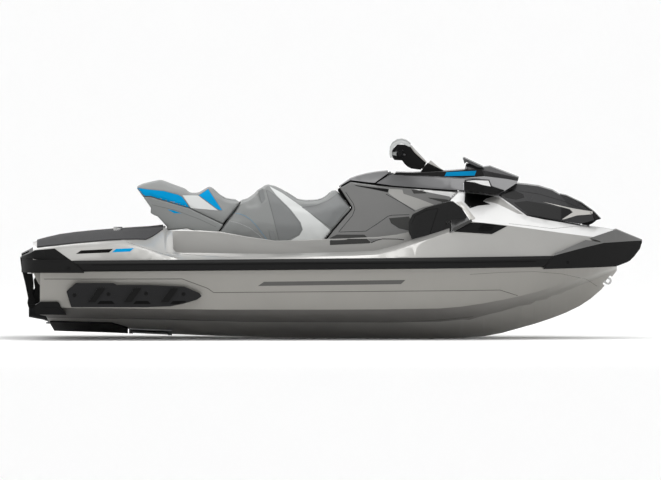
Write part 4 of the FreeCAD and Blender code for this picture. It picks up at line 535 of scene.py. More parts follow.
@dataclass(frozen=True)
class Trim(Detail):
    """A thin panel, film or plate that follows the surface under it."""

    thick_mm: float = 1.6
    lift_mm: float = 0.7
    step_mm: float = 14.0
    look: Look = Look.SIDE

    def grid(self) -> BMesh:
        """Draws the outline flat and cuts it into cells of one step.

        Returns:
            The flat grid.
        """
        bm = bmesh.new()
        bm.faces.new([bm.verts.new(self.look.place(*point)) for point in self.path])
        for axis in ((0, 2) if self.look is Look.SIDE else (0, 1)):
            values = [v.co[axis] for v in bm.verts]
            low, high = min(values), max(values)
            count = max(1, math.ceil((high - low) / (self.step_mm * MM)))
            way = Vector([float(i == axis) for i in range(3)])
            for i in range(1, count):
                bmesh.ops.bisect_plane(bm, geom=bm.verts[:] + bm.edges[:] + bm.faces[:], plane_no=way,
                                       plane_co=way * (low + (high - low) * i / count))
        return bm

    def mesh(self, carrier: Carrier) -> BMesh:
        """Lays the grid on the carrier and gives it its thickness.

        Args:
            carrier: The surface under the trim.

        Returns:
            The mesh: on both sides of the craft, or single where it is laid from the top.
        """
        bm = self.grid()
        middle = sum((v.co for v in bm.verts), Vector()) / len(bm.verts)
        for vert in bm.verts:
            vert.co = carrier.seat(vert.co, self.look, self.lift_mm * MM, middle) or vert.co
        bmesh.ops.remove_doubles(bm, verts=bm.verts, dist=TRIM_JOIN_M)
        bm.normal_update()
        out = Vector((0, -1, 0)) if self.look is Look.SIDE else Vector((0, 0, 1))
        if sum(face.normal.dot(out) * face.calc_area() for face in bm.faces) < 0:
            bmesh.ops.reverse_faces(bm, faces=bm.faces)
        under = [(vert, vert.normal.copy()) for vert in bm.verts]
        bmesh.ops.extrude_face_region(bm, geom=bm.faces[:])
        for vert, normal in under:
            vert.co -= normal * (self.thick_mm * MM)
        if self.look is Look.SIDE:
            return mirrored(bm)
        bmesh.ops.recalc_face_normals(bm, faces=bm.faces)
        return bm


@dataclass(frozen=True)
class Seam(Detail):
    """A welt, groove line or row of stitches that follows the surface under it."""

    radius_mm: float = 1.2
    sink_mm: float = 0.3
    look: Look = Look.SIDE
    closed: bool = False
    dashed: bool = False
    step_mm: float = 10.0
    dash_share: float = 0.6

    def edge(self, piece: Object) -> None:
        """Leaves the round section smooth."""

    def points(self, carrier: Carrier) -> list[Vector]:
        """Lays the path on the surface, with a point every step.

        Args:
            carrier: The surface under the seam.

        Returns:
            Points from the path's start to its end.
        """
        corners = [self.look.place(*point) for point in self.path]
        if self.closed:
            corners.append(corners[0])
        laid = []
        for first, second in zip(corners, corners[1:]):
            count = max(1, round((second - first).length / (self.step_mm * MM)))
            laid += [first.lerp(second, i / count) for i in range(count)]
        seated = [carrier.seat(p, self.look, -self.sink_mm * MM) for p in laid + corners[-1:]]
        return [p for p in seated if p is not None]

    def mesh(self, carrier: Carrier) -> BMesh:
        """Sweeps a round section along the path, on both sides of the craft.

        Args:
            carrier: The surface under the seam.

        Returns:
            The mesh.
        """
        line = self.points(carrier)
        runs = [[a, a.lerp(b, self.dash_share)] for a, b in zip(line, line[1:])] if self.dashed else [line]
        curve = bpy.data.curves.new(self.name, "CURVE")
        curve.dimensions = "3D"
        curve.bevel_depth = self.radius_mm * MM
        curve.bevel_resolution = 1
        curve.use_fill_caps = True
        for side in (1.0, -1.0):
            for run in runs:
                spline = curve.splines.new("POLY")
                spline.points.add(len(run) - 1)
                for knot, place in zip(spline.points, run):
                    knot.co = (place.x, place.y * side, place.z, 1.0)
        holder = bpy.data.objects.new(self.name, curve)
        bpy.context.scene.collection.objects.link(holder)
        bpy.context.view_layer.update()
        graph = bpy.context.evaluated_depsgraph_get()
        bm = bmesh.new()
        bm.from_mesh(bpy.data.meshes.new_from_object(holder.evaluated_get(graph)))
        bpy.data.objects.remove(holder)
        bpy.data.curves.remove(curve)
        bmesh.ops.recalc_face_normals(bm, faces=bm.faces)
        return bm


@dataclass(frozen=True)
class EdgeStrip(Detail):
    """A strip or bar along an edge: each point has a column, a row and a share of the half width. Most are
    dark sheets in the gaps between parts, where they are painted shade.
    """

    thick_mm: float = 5.0
    width_mm: float = 28.0

    def mesh(self, carrier: Optional[Carrier]) -> BMesh:
        """Draws the strip on both sides of the craft.

        Args:
            carrier: Not needed.

        Returns:
            The mesh.
        """
        bm = bmesh.new()
        line = [Look.SIDE.place(px, py) for px, py, _ in self.path]
        rings = []
        for i, (place, (_, _, share)) in enumerate(zip(line, self.path)):
            way = (line[min(i + 1, len(line) - 1)] - line[max(i - 1, 0)]).normalized()
            lean = Vector((-way.z, 0.0, way.x)) * (self.thick_mm * MM / 2)
            outer = Vector((0.0, -share * HALF_HULL, 0.0))
            inner = outer + Vector((0.0, self.width_mm * MM, 0.0))
            rings.append([bm.verts.new(place + shift) for shift in
                          (outer + lean, inner + lean, inner - lean, outer - lean)])
        for near, far in zip(rings, rings[1:]):
            for a, b, c, d in zip(near, near[1:] + near[:1], far[1:] + far[:1], far):
                bm.faces.new((a, b, c, d))
        bm.faces.new(rings[0])
        bm.faces.new(rings[-1])
        return mirrored(bm)


@dataclass(frozen=True)
class Rib(Detail):
    """A moulded block drawn in the side view and thick across, one on either side."""

    inner_m: float
    outer_m: float
    radius_mm: float = 2.0

    def edge(self, piece: Object) -> None:
        """Rounds the block's edges."""
        soften(piece, self.radius_mm)

    def mesh(self, carrier: Optional[Carrier]) -> BMesh:
        """Draws the outline at the inner face and extrudes it to the outer one.

        Args:
            carrier: Not needed.

        Returns:
            The mesh.
        """
        bm = bmesh.new()
        face = bm.faces.new([bm.verts.new((along(px), -self.inner_m, up(py))) for px, py in self.path])
        made = bmesh.ops.extrude_face_region(bm, geom=[face])
        moved = [item for item in made["geom"] if isinstance(item, BMVert)]
        bmesh.ops.translate(bm, verts=moved, vec=(0.0, self.inner_m - self.outer_m, 0.0))
        return mirrored(bm)


def raised(bm: BMesh, face: BMFace, way: Vector) -> BMFace:
    """Extrudes one face.

    Args:
        bm: The mesh.
        face: The face, which goes.
        way: How far it is moved, in metres.

    Returns:
        The face at the far end.
    """
    moved = bmesh.ops.extrude_discrete_faces(bm, faces=[face])["faces"][0]
    bmesh.ops.translate(bm, verts=moved.verts[:], vec=way)
    return moved


@dataclass(frozen=True)
class Bolts(Detail):
    """Socket-headed bolts set into a side surface, on both sides of the craft."""

    radius_mm: float = 11.0
    proud_mm: float = 2.5
    root_mm: float = 3.0
    chamfer_mm: float = 0.8
    chamfer_share: float = 0.12
    socket_share: float = 0.42
    socket_depth: float = 1.2
    sides: int = 24

    def mesh(self, carrier: Carrier) -> BMesh:
        """Makes one head with a round socket for each place.

        Args:
            carrier: The surface that the heads stand on.

        Returns:
            The mesh.
        """
        bm = bmesh.new()
        for point in self.path:
            spot = carrier.seat(Look.SIDE.place(*point), Look.SIDE, 0.0) + Vector((0, self.root_mm * MM, 0))
            made = bmesh.ops.create_circle(bm, cap_ends=True, segments=self.sides,
                                           radius=self.radius_mm * MM,
                                           matrix=Matrix.Translation(spot) @ ACROSS)
            face = made["verts"][0].link_faces[0]
            if face.normal.y > 0:
                face.normal_flip()
            top = raised(bm, face, Vector((0, -(self.root_mm + self.proud_mm) * MM, 0)))
            bmesh.ops.inset_region(bm, faces=[top], thickness=self.radius_mm * self.chamfer_share * MM,
                                   depth=self.chamfer_mm * MM)
            bmesh.ops.inset_region(bm, faces=[top], thickness=self.radius_mm * self.socket_share * MM)
            raised(bm, top, Vector((0, self.proud_mm * self.socket_depth * MM, 0)))
        return mirrored(bm)


# Sizes that follow a detail's path are in millimetres: a trim's thickness, lift and step, a seam's radius
# and sink, an edge strip's thickness and width and a bolt's radius. Only a rib's two faces are in metres.
Details = Sequence[Detail]

# A skin's home, node, finishes, radius in millimetres and, where it isn't 30 degrees, its edges' angle.
SkinRow = tuple


@dataclass
class HullWorks:
    """Hull with its dark bottom, rub rail, sponsons, corner trims, bumpers and eyes."""

    chine: Pixels = (
        (36, 305.5), (110, 306), (220, 307.5), (330, 307.5), (440, 306.5), (484, 301.5), (520, 294.5),
        (552, 286), (580, 277.5), (601, 271.5), (620, 266.8))
    keel_edge: Pixels = (
        (36, 316.5), (110, 317.5), (220, 320), (330, 321), (440, 320.5), (484, 314.5), (520, 305),
        (552, 295), (580, 284.5), (601, 276.5), (620, 267.6))
    tolerance_mm: float = 1.5
    keel_drop_mm: float = 8.0
    end_slope: float = -0.4
    # The rail and the bow bumper have a grey cap where their faces look up by more than this.
    rail_cap_slope: float = 0.75
    rail_cap_height_m: float = 0.12
    bow_cap_slope: float = 0.45
    side_lines: Details = (
        Seam("hull_side_groove", HULL_LINE, (
            (44, 276.8), (182, 276.5), (207.8, 286), (213.5, 290.2), (300, 289.6), (500, 288.2),
            (517.6, 294)), 2.2, 1),
        Seam("hull_bow_crease", HULL_LINE, (
            (470, 272.2), (503, 270.3), (534.7, 269.8), (561.5, 272.4), (585.6, 278.2),
            (597, 286)), 1.4, 0.9),
        Seam("hull_strake", HULL_LINE, (
            (48, 316.6), (150, 317), (240, 320.3), (400, 321), (440, 318.4), (473, 315.4)), 2, 0.6),
        Trim("hull_stripe", STRIPE_FILM, (
            (258, 283.6), (264, 279.4), (405.5, 277.6), (401, 281.8)), 0.8, 0.3))
    rail_groove: Seam = Seam("rail_groove", GRILLE_PLASTIC,
                             ((92, 262.5), (240, 261.5), (400, 260.6), (536, 259.4)), 2.2, 1)
    trim_line: Seam = Seam("trim_line", GRILLE_PLASTIC, ((43, 305), (58, 305.5), (63, 311)), 1.2, 0.5)
    # The columns of a rib, a slot and a panel are counted from the rib's own.
    rib_columns: Sequence[float] = (88, 124, 161)
    rib: Pixels = ((0, 299.4), (7.5, 299.4), (17.5, 285.6), (10, 285.6))
    slot: Pixels = ((9, 301.6), (12, 298.4), (24, 298.4), (27, 301.6))
    panel: Pixels = ((-11, 293.5), (-4, 286.4), (6, 286.4), (1, 293.5))
    sponson_bolts: Bolts = Bolts("sponson_bolts", TRIM_PLASTIC, (
        (74.5, 292.5), (108.5, 291.5), (146, 291), (183.5, 291.5)))
    bow_bolt: Bolts = Bolts("bow_bolt", TRIM_PLASTIC, ((567.5, 260.7),), 10)
    stern_bolt: Bolts = Bolts("stern_bolt", TRIM_PLASTIC, ((68.5, 266),), 10)
    lip: Rib = Rib("transom_lip", HULL_GELCOAT, (
        (33.4, 270.6), (40.8, 270.6), (40.8, 284), (38.4, 281.4), (35.6, 276)), 0.2, 0.5)

    def tone(self, centre: Vector, normal: Vector) -> int:
        """Tells the keel's panels, painted paler for light from the floor, and the dark bottom from the
        sides by their height.

        Args:
            centre: The middle of a face.
            normal: The face's direction.

        Returns:
            2 below the strake, 1 below the chine, else 0.
        """
        px = centre.x / COLUMN_M + MIDSHIP_PX
        if not self.chine[0][0] <= px <= self.chine[-1][0]:
            return int(normal.z < self.end_slope)
        if centre.z < up(row_at(self.keel_edge, px)) - self.keel_drop_mm * MM:
            return 2
        return int(centre.z < up(row_at(self.chine, px)) - self.tolerance_mm * MM)

    def build(self) -> None:
        """Makes the hull and everything bolted to its sides."""
        hull = skin(HULL, "hull", [HULL_GELCOAT, BOTTOM_GELCOAT, KEEL_PAINTED_FLOOR_LIGHT], 2.5, choose=self.tone)
        lay(HULL, Carrier([hull]), *self.side_lines)
        rails = skin(BUMPERS, "gunwale_rails", [BUMPER_RUBBER, BUMPER_TOP], 4,
                     choose=lambda c, n: int(n.z > self.rail_cap_slope and c.z > self.rail_cap_height_m))
        lay(BUMPERS, Carrier([rails]), self.rail_groove)
        self.build_sponsons()
        lay(TRIMS, Carrier([skin(TRIMS, "corner_trims", [TRIM_PLASTIC], 4)]), self.trim_line)
        bow = skin(BUMPERS, "bow_bumper", [BUMPER_RUBBER, BUMPER_TOP], 4, 24,
                   lambda c, n: int(n.z > self.bow_cap_slope))
        stern = skin(BUMPERS, "stern_bumper", [BUMPER_RUBBER], 6, 24)
        lay(BUMPERS, Carrier([bow]), self.bow_bolt)
        lay(BUMPERS, Carrier([stern]), self.stern_bolt)
        lay(HULL, None, self.lip)
        for node in ("bow_eye", "tow_eyes"):
            skin(FITTINGS, node, [STAINLESS], 2.5)
        for node, finish in (("ride_plate", TRIM_PLASTIC), ("intake_grate", CAST_ALLOY)):
            skin(CASTINGS, node, [finish], 1.5)

    def build_sponsons(self) -> None:
        """Makes the sponsons with their slanted ribs, lower slots, panels and bolts."""
        face = Carrier([skin(TRIMS, "sponsons", [SPONSON_FACE], 4)])
        for i, column in enumerate(self.rib_columns):
            for name, finish, shape, thick_mm, lift_mm in (
                    ("rib", TRIM_PLASTIC, self.rib, 12, 9), ("slot", GRILLE_PLASTIC, self.slot, 2, 0.5),
                    ("panel", SPONSON_FACE, self.panel, 3, 1.5)):
                outline = tuple((column + px, py) for px, py in shape)
                lay(TRIMS, face, Trim(f"sponson_{name}_{i}", finish, outline, thick_mm, lift_mm))
        lay(TRIMS, face, self.sponson_bolts)


@dataclass
class DeckWorks:
    """Deck with its mats, anchors, panel lines, speakers, vents and boarding ladder."""

    marks: Details = (
        Seam("deck_panel_line", SEAM_SHADOW, ((126.5, 239.8), (150, 247.5), (178.4, 256.4)), 1.2, 0.6),
        Seam("gunwale_line", HULL_LINE, ((165.7, 250.4), (200, 253.4), (230, 255)), 1.2, 0.6))
    stripes: Details = (
        Trim("stern_stripe_dark", SEAM_SHADOW, ((76, 251.6), (81, 248.2), (113, 246.6), (109, 250.2)),
             1, 0.4),
        Trim("stern_stripe_blue", BLUE_FILM, ((112, 250), (116, 246.5), (134, 245.8), (130, 249.2)), 1, 0.4))
    fittings: Sequence[SkinRow] = (
        (MATS, "platform_mat", [FOAM_MAT], 2), (MATS, "footwell_mats", [FOAM_MAT], 2),
        (FITTINGS, "cargo_anchors", [STAINLESS], 1.5), (TRIMS, "storage_bin", [TRIM_PLASTIC], 2),
        (Home("craft", "engine_block"), "engine", [CAST_ALLOY], 6))
    speaker_line: Seam = Seam("speaker_line", GRILLE_PLASTIC, (
        (411.5, 222), (415, 214), (427, 208), (438, 206.5), (430, 232), (418, 238.6)), 1.4, 0.5)
    grille: Trim = Trim("vent_grille", GRILLE_PLASTIC, (
        (477.5, 228.6), (482.4, 221.6), (495, 222.8), (491, 228.8)), 2, 0.6)
    slats: int = 4
    top_slat: Pixels = ((480.6, 222.4), (494.2, 223))
    slat_steps: Pixels = ((-1.1, 1.7), (-0.8, 1.7))
    lug_scale: float = 0.996
    guard: Rib = Rib("ladder_guard", TRIM_PLASTIC, (
        (25.4, 269.4), (32.2, 271.8), (33.6, 283), (33.6, 292), (32, 293.4), (29.4, 284)), 0.152, 0.17)

    def build(self) -> None:
        """Makes the deck and what stands on it."""
        deck = skin(DECK, "deck", [DECK_GELCOAT], 2.5, 26)
        top = Carrier([deck])
        lay(DECK, top, *self.marks)
        lay(TRIMS, top, *self.stripes)
        for row in self.fittings:
            skin(*row)
        lay(TRIMS, Carrier([skin(TRIMS, "speakers", [BLACK_GLOSS], 12)]), self.speaker_line)
        face = Carrier([skin(TRIMS, "side_vents", [TRIM_PLASTIC], 1.5), deck])
        lay(TRIMS, face, self.grille)
        for i in range(self.slats):
            path = tuple((px + i * column, py + i * row)
                         for (px, py), (column, row) in zip(self.top_slat, self.slat_steps))
            lay(TRIMS, face, Seam(f"vent_slat_{i}", TRIM_PLASTIC, path, 1.6, -1.2))
        skin(LADDER, "boarding_ladder", [TRIM_PLASTIC], 1)
        lugs = skin(TRIMS, "ladder_brackets", [TRIM_PLASTIC], 1)
        lugs.data.transform(Matrix.Scale(self.lug_scale, 4, (0, 1, 0)))
        lay(LADDER, None, self.guard)


@dataclass
class CowlWorks:
    """Front cowl and console with their seams and trims, and painted shade in their recesses."""

    # A black panel in the intake under each mirror: painted shade of the hollow.
    recess_shade: Trim = Trim("mirror_recess", TRIM_PLASTIC, (
        (465.2, 191.6), (480, 193.4), (494.8, 195.2), (486.2, 197.4), (483.2, 200), (490.4, 203),
        (478, 204.2), (470, 206.6), (464.4, 200.8)), 2, 0.6)
    # A grey film beside the bonnet that stands for the shading of a moulded scoop: painted shade.
    scoop_shade: Trim = Trim("cowl_scoop_shade", DECK_GELCOAT, (
        (483.8, 200), (486.6, 197.6), (493, 195.8), (499.8, 196.6), (512, 205.4), (523.4, 213.4),
        (517.4, 212.2), (507, 207), (497.6, 202.6), (490.6, 200.8)), 2, 0.6)
    pod_trims: Details = (
        # The speaker pod's black foot is drawn out over the deep shade between the pod and the silver strip:
        # partly the pod, partly painted shade.
        Trim("speaker_foot", BLACK_GLOSS, (
            (450.2, 200.6), (455.5, 201.8), (463.8, 209.7), (469.8, 218), (468.8, 219.8), (452.4, 229.4),
            (450.2, 230.4)), 3, 1.2, 8),
        Trim("speaker_strip", BRIGHT_TRIM, (
            (456.4, 201), (461.6, 200.6), (468.4, 208.4), (475.2, 216.6), (470.8, 218.4),
            (464.4, 208.6)), 3, 3.4, 8),
        Rib("speaker_heel", BLACK_GLOSS, (
            (440, 226), (452, 219), (452.4, 228.4), (436.5, 235.8), (436, 232)), 0.44, 0.4785),
        EdgeStrip("vent_surround", POCKET_SHADE, (
            (453.4, 227.4, 0.9159), (462.6, 222.8, 0.9017), (471.8, 218.2, 0.8876)), 15, 24))
    fold: Seam = Seam("cowl_fold", HULL_LINE, (
        (509, 221.8), (530, 224.2), (552, 227.2), (573, 225.6), (590, 226.6)), 1.4, 0.6)
    console_panels: Details = (
        Trim("console_skirt", POCKET_SHADE, (
            (329.6, 237.4), (336.8, 233.9), (364.4, 233.9), (370.4, 239.6), (369.6, 240.8),
            (329.6, 240.8)), 2, step_mm=10),
        Trim("console_slot", TRIM_PLASTIC, (
            (354, 184.4), (372, 186.6), (388.8, 188.4), (387.8, 191.6), (374, 188.8),
            (357, 185.6)), 2, step_mm=10),
        Trim("console_ramp", DECK_GELCOAT, (
            (388.9, 188.2), (402.3, 188.8), (403.6, 193), (418, 197.6), (434, 203.8), (424, 206),
            (415.7, 209.3), (399, 199.9), (388.5, 192.6)), 2, step_mm=10),
        # The shade, wedge and pocket patches are painted shade: dark where the console's sculpted surface
        # and its pocket lie in shade.
        Trim("console_shade", POCKET_SHADE, (
            (410.8, 187.9), (423.4, 188.6), (426.6, 192.6), (413.8, 192.8)), 2, step_mm=10),
        Trim("console_wedge", POCKET_SHADE, (
            (428, 196.6), (446, 198.4), (456, 201.2), (450.2, 203.8), (441, 200.8),
            (430, 197.9)), 2, step_mm=10),
        Trim("console_band", PALE_GELCOAT, (
            (414, 188.4), (430, 189.6), (457.2, 191.8), (450.6, 197.6), (449.6, 195.6),
            (430, 191.8)), 2, step_mm=10),
        Trim("console_pocket_shade", POCKET_SHADE, (
            (389, 217.4), (409, 215.6), (412, 222), (410, 230), (399, 227.6), (391, 222.4)), 2, step_mm=10),
        Seam("console_rim", SEAM_SHADOW, (
            (345.6, 191.5), (353.3, 203), (354.9, 208.2), (352.6, 214.6), (338.6, 231.4), (366, 230.4),
            (378, 222.5), (387.7, 215.6), (392, 214.4), (409.4, 213.8)), 1.8, 1),
        Seam("console_slot_tail", SEAM_SHADOW, ((386, 193.4), (399.5, 200.8), (415, 210.4)), 1.8, 1))
    foot_trims: Details = (
        Trim("skirt_foot", POCKET_SHADE, (
            (329.8, 239.6), (332, 237.5), (366.9, 237.4), (371, 241), (369.4, 242),
            (330, 243.8)), 2, step_mm=10),
        Trim("console_heel", CONSOLE_SHELL, (
            (367.4, 237.4), (381.4, 237.4), (376, 239.2), (371.4, 241)), 2, step_mm=10),
        # A painted shadow line under the console's heel.
        Seam("console_heel_shadow", SEAM_SHADOW, (
            (371, 241.6), (376.4, 239.2), (382.6, 237.6), (398, 237.8), (404, 238.6)), 2.4, 1))

    def build(self) -> None:
        """Makes the cowl and the console, with what lies on them and on the deck beside them."""
        cowl = Carrier([skin(COWL, "front_cowl", [PALE_GELCOAT], 3, 26)])
        lay(TRIMS, cowl, self.recess_shade)
        lay(COWL, cowl, self.scoop_shade)
        lay(TRIMS, cowl, *self.pod_trims)
        lay(COWL, cowl, self.fold)
        lay(CONSOLE, Carrier([skin(CONSOLE, "console", [CONSOLE_SHELL], 8, 24)]), *self.console_panels)
        lay(CONSOLE, Carrier([bpy.data.objects["deck_skin"]]), *self.foot_trims)


@dataclass
class HoodWorks:
    """Hood, bonnet, nose, gauge pod, deflector and mirrors, which tilt together, and the lid."""

    side_edge: Seam = Seam("hood_side_edge", SEAM_SHADOW, (
        (391, 173.9), (426, 175.6), (463, 177.8), (480, 177.4)), 1.4, 0.6)
    accent: Trim = Trim("hood_accent", BLUE_FILM, (
        (444.5, 175.6), (446.5, 171.6), (476.5, 170.2), (474.5, 175)), 1, 0.5)
    bonnet_line: Seam = Seam("bonnet_upper_line", BLACK_GLOSS, (
        (519, 190), (540, 193.5), (562, 200), (582, 208), (592, 214)), 1.6, 0.5)
    fittings: Sequence[SkinRow] = (
        (HOOD_TRIMS, "gauge_pod", [CHARCOAL_GLOSS], 3, 26),
        (Home("hood", "dark_glass"), "gauge_screen", [DARK_LENS], 0.5, 26),
        (BONNET, "wind_deflector", [CHARCOAL_GLOSS], 2.5, 26))
    cap: Trim = Trim("mirror_caps", PALE_GELCOAT, (
        (465.2, 179.4), (475, 178.4), (488.4, 179.2), (490.6, 185), (481.4, 183), (474.7, 180.6)), 2.4, 1, 8)
    others: Sequence[SkinRow] = (
        (Home("hood", "mirror_glass"), "mirror_glasses", [MIRROR_GLASS], 1, 26),
        (Home("glovebox_lid", "grey_moulding"), "glovebox_lid", [GREY_SHELL], 3, 26),
        (CASTINGS, "hood_hinge", [CAST_ALLOY], 1.5))
    bonnet_trims: Details = (
        Trim("bonnet_panel", BLACK_GLOSS, (
            (502.5, 193.8), (511.2, 188.4), (523.4, 193.4), (524.2, 196.6), (516, 198.6),
            (505, 196.4)), 2, 0.8, 8),
        Trim("bonnet_lens", BLACK_GLOSS, (
            (514, 201.6), (527, 200), (543, 202.8), (569.4, 208.8), (572.4, 212.4), (561, 219.2),
            (545, 216.4), (527.6, 212.9)), 2, 0.8, 8),
        Trim("nose_strip", BRIGHT_TRIM, (
            (543, 201.2), (570, 207.2), (577, 208.6), (592.6, 211.2), (592.4, 213.8), (577, 214.8),
            (564.4, 218.4), (561.6, 218.6), (572.8, 211.6), (569.6, 208.5)), 2, 2, 8))
    # Dark strips in the gaps around the hood, lid and bonnet: painted shade.
    hood_gap_shade: EdgeStrip = EdgeStrip("hood_gap_shade", SEAM_SHADOW, (
        (341, 186, 0.20), (350.4, 180.6, 0.21), (375.2, 183.6, 0.23), (393.8, 185.7, 0.26),
        (430, 188.3, 0.31), (457.5, 190.15, 0.34)), 6.6)
    lid_gap_shade: EdgeStrip = EdgeStrip("lid_gap_shade", SEAM_SHADOW, ((388.9, 173.5, 0.17), (375.5, 182.6, 0.22)), 5.8)
    bonnet_gap_shade: EdgeStrip = EdgeStrip("bonnet_gap_shade", SEAM_SHADOW, (
        (514, 205.2, 0.42), (527, 214.1, 0.46), (540, 217, 0.44), (560.7, 220.6, 0.38),
        (580.3, 224.1, 0.29)), 4.6)
    chin: Rib = Rib("bonnet_chin", TRIM_PLASTIC, (
        (581.5, 222.6), (593, 219.6), (596.2, 220.2), (592.5, 223), (590, 224.2), (586, 224.8),
        (582, 224.2)), 0.056, 0.104)

    def build(self) -> None:
        """Makes the hood's shells and fittings."""
        lay(HOOD, Carrier([skin(HOOD, "hood", [GREY_SHELL], 3, 26)]), self.side_edge)
        lay(HOOD_TRIMS, Carrier([skin(HOOD_TRIMS, "hood_deck", [BLACK_GLOSS], 3, 26)]), self.accent)
        bonnet = skin(BONNET, "bonnet", [CHARCOAL_GLOSS], 4, 26)
        lay(BONNET, Carrier([bonnet]), self.bonnet_line)
        nose = skin(BONNET, "nose_cover", [BLACK_GLOSS], 3, 26)
        for row in self.fittings:
            skin(*row)
        lay(MIRRORS, Carrier([skin(MIRRORS, "mirror_housings", [TRIM_PLASTIC], 6, 26)]), self.cap)
        for row in self.others:
            skin(*row)
        lay(BONNET, Carrier([bonnet, nose]), *self.bonnet_trims)
        lay(TRIMS, None, self.hood_gap_shade)
        lay(HOOD_TRIMS, None, self.lid_gap_shade)
        lay(TRIMS, None, self.bonnet_gap_shade)
        lay(BONNET, None, self.chin)


@dataclass
class Cushion:
    """A padded vinyl seat: the CAD solid, swollen by a short cloth simulation."""

    node: str
    voxel_mm: float = 8.0
    cap_mm: float = 5.0
    shrink_mm: float = 2.5
    pressure: float = 4.0
    quality: int = 4
    frames: int = 20
    smoothing: float = 0.5
    smoothing_passes: int = 3
    fill: float = 0.9

    def build(self) -> Object:
        """Makes the cushion.

        Returns:
            The finished piece, with its simulation applied.
        """
        piece = piece_from(f"{self.node}_cushion", merged_copy(self.node), [SEAT_VINYL], SEAT)
        bpy.context.view_layer.objects.active = piece
        piece.select_set(True)
        remesh = piece.modifiers.new("even_mesh", "REMESH")
        remesh.mode = "VOXEL"
        remesh.voxel_size = self.voxel_mm * MM
        remesh.use_smooth_shade = True
        bpy.ops.object.modifier_apply(modifier=remesh.name)
        start = [v.co.copy() for v in piece.data.vertices]
        normals = [v.normal.copy() for v in piece.data.vertices]
        for vert, normal in zip(piece.data.vertices, normals):
            vert.co -= normal * (self.shrink_mm * MM)
        self.swell(piece)
        for vert, place in zip(piece.data.vertices, start):
            step = vert.co - place
            if step.length > self.cap_mm * MM:
                vert.co = place + step.normalized() * (self.cap_mm * MM)
        self.smooth(piece)
        piece.select_set(False)
        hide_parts(self.node)
        return piece

    def swell(self, piece: Object) -> None:
        """Runs the cloth simulation and applies it.

        Args:
            piece: The cushion's even mesh.
        """
        cloth = piece.modifiers.new("padding", "CLOTH")
        cloth.settings.use_pressure = True
        cloth.settings.uniform_pressure_force = self.pressure
        cloth.settings.effector_weights.gravity = 0.0
        cloth.settings.quality = self.quality
        cloth.point_cache.frame_start, cloth.point_cache.frame_end = 1, self.frames
        for number in range(1, self.frames + 1):
            bpy.context.scene.frame_set(number)
        bpy.ops.object.modifier_apply(modifier=cloth.name)
        bpy.context.scene.frame_set(1)

    def smooth(self, piece: Object) -> None:
        """Evens out the voxels' steps and adds one subdivision.

        Args:
            piece: The cushion after the simulation.
        """
        bm = bmesh.new()
        bm.from_mesh(piece.data)
        for _ in range(self.smoothing_passes):
            bmesh.ops.smooth_vert(bm, verts=bm.verts, factor=self.smoothing, use_axis_x=True,
                                  use_axis_y=True, use_axis_z=True)
        bm.to_mesh(piece.data)
        bm.free()
        finer = piece.modifiers.new("finer", "SUBSURF")
        finer.levels = finer.render_levels = 1


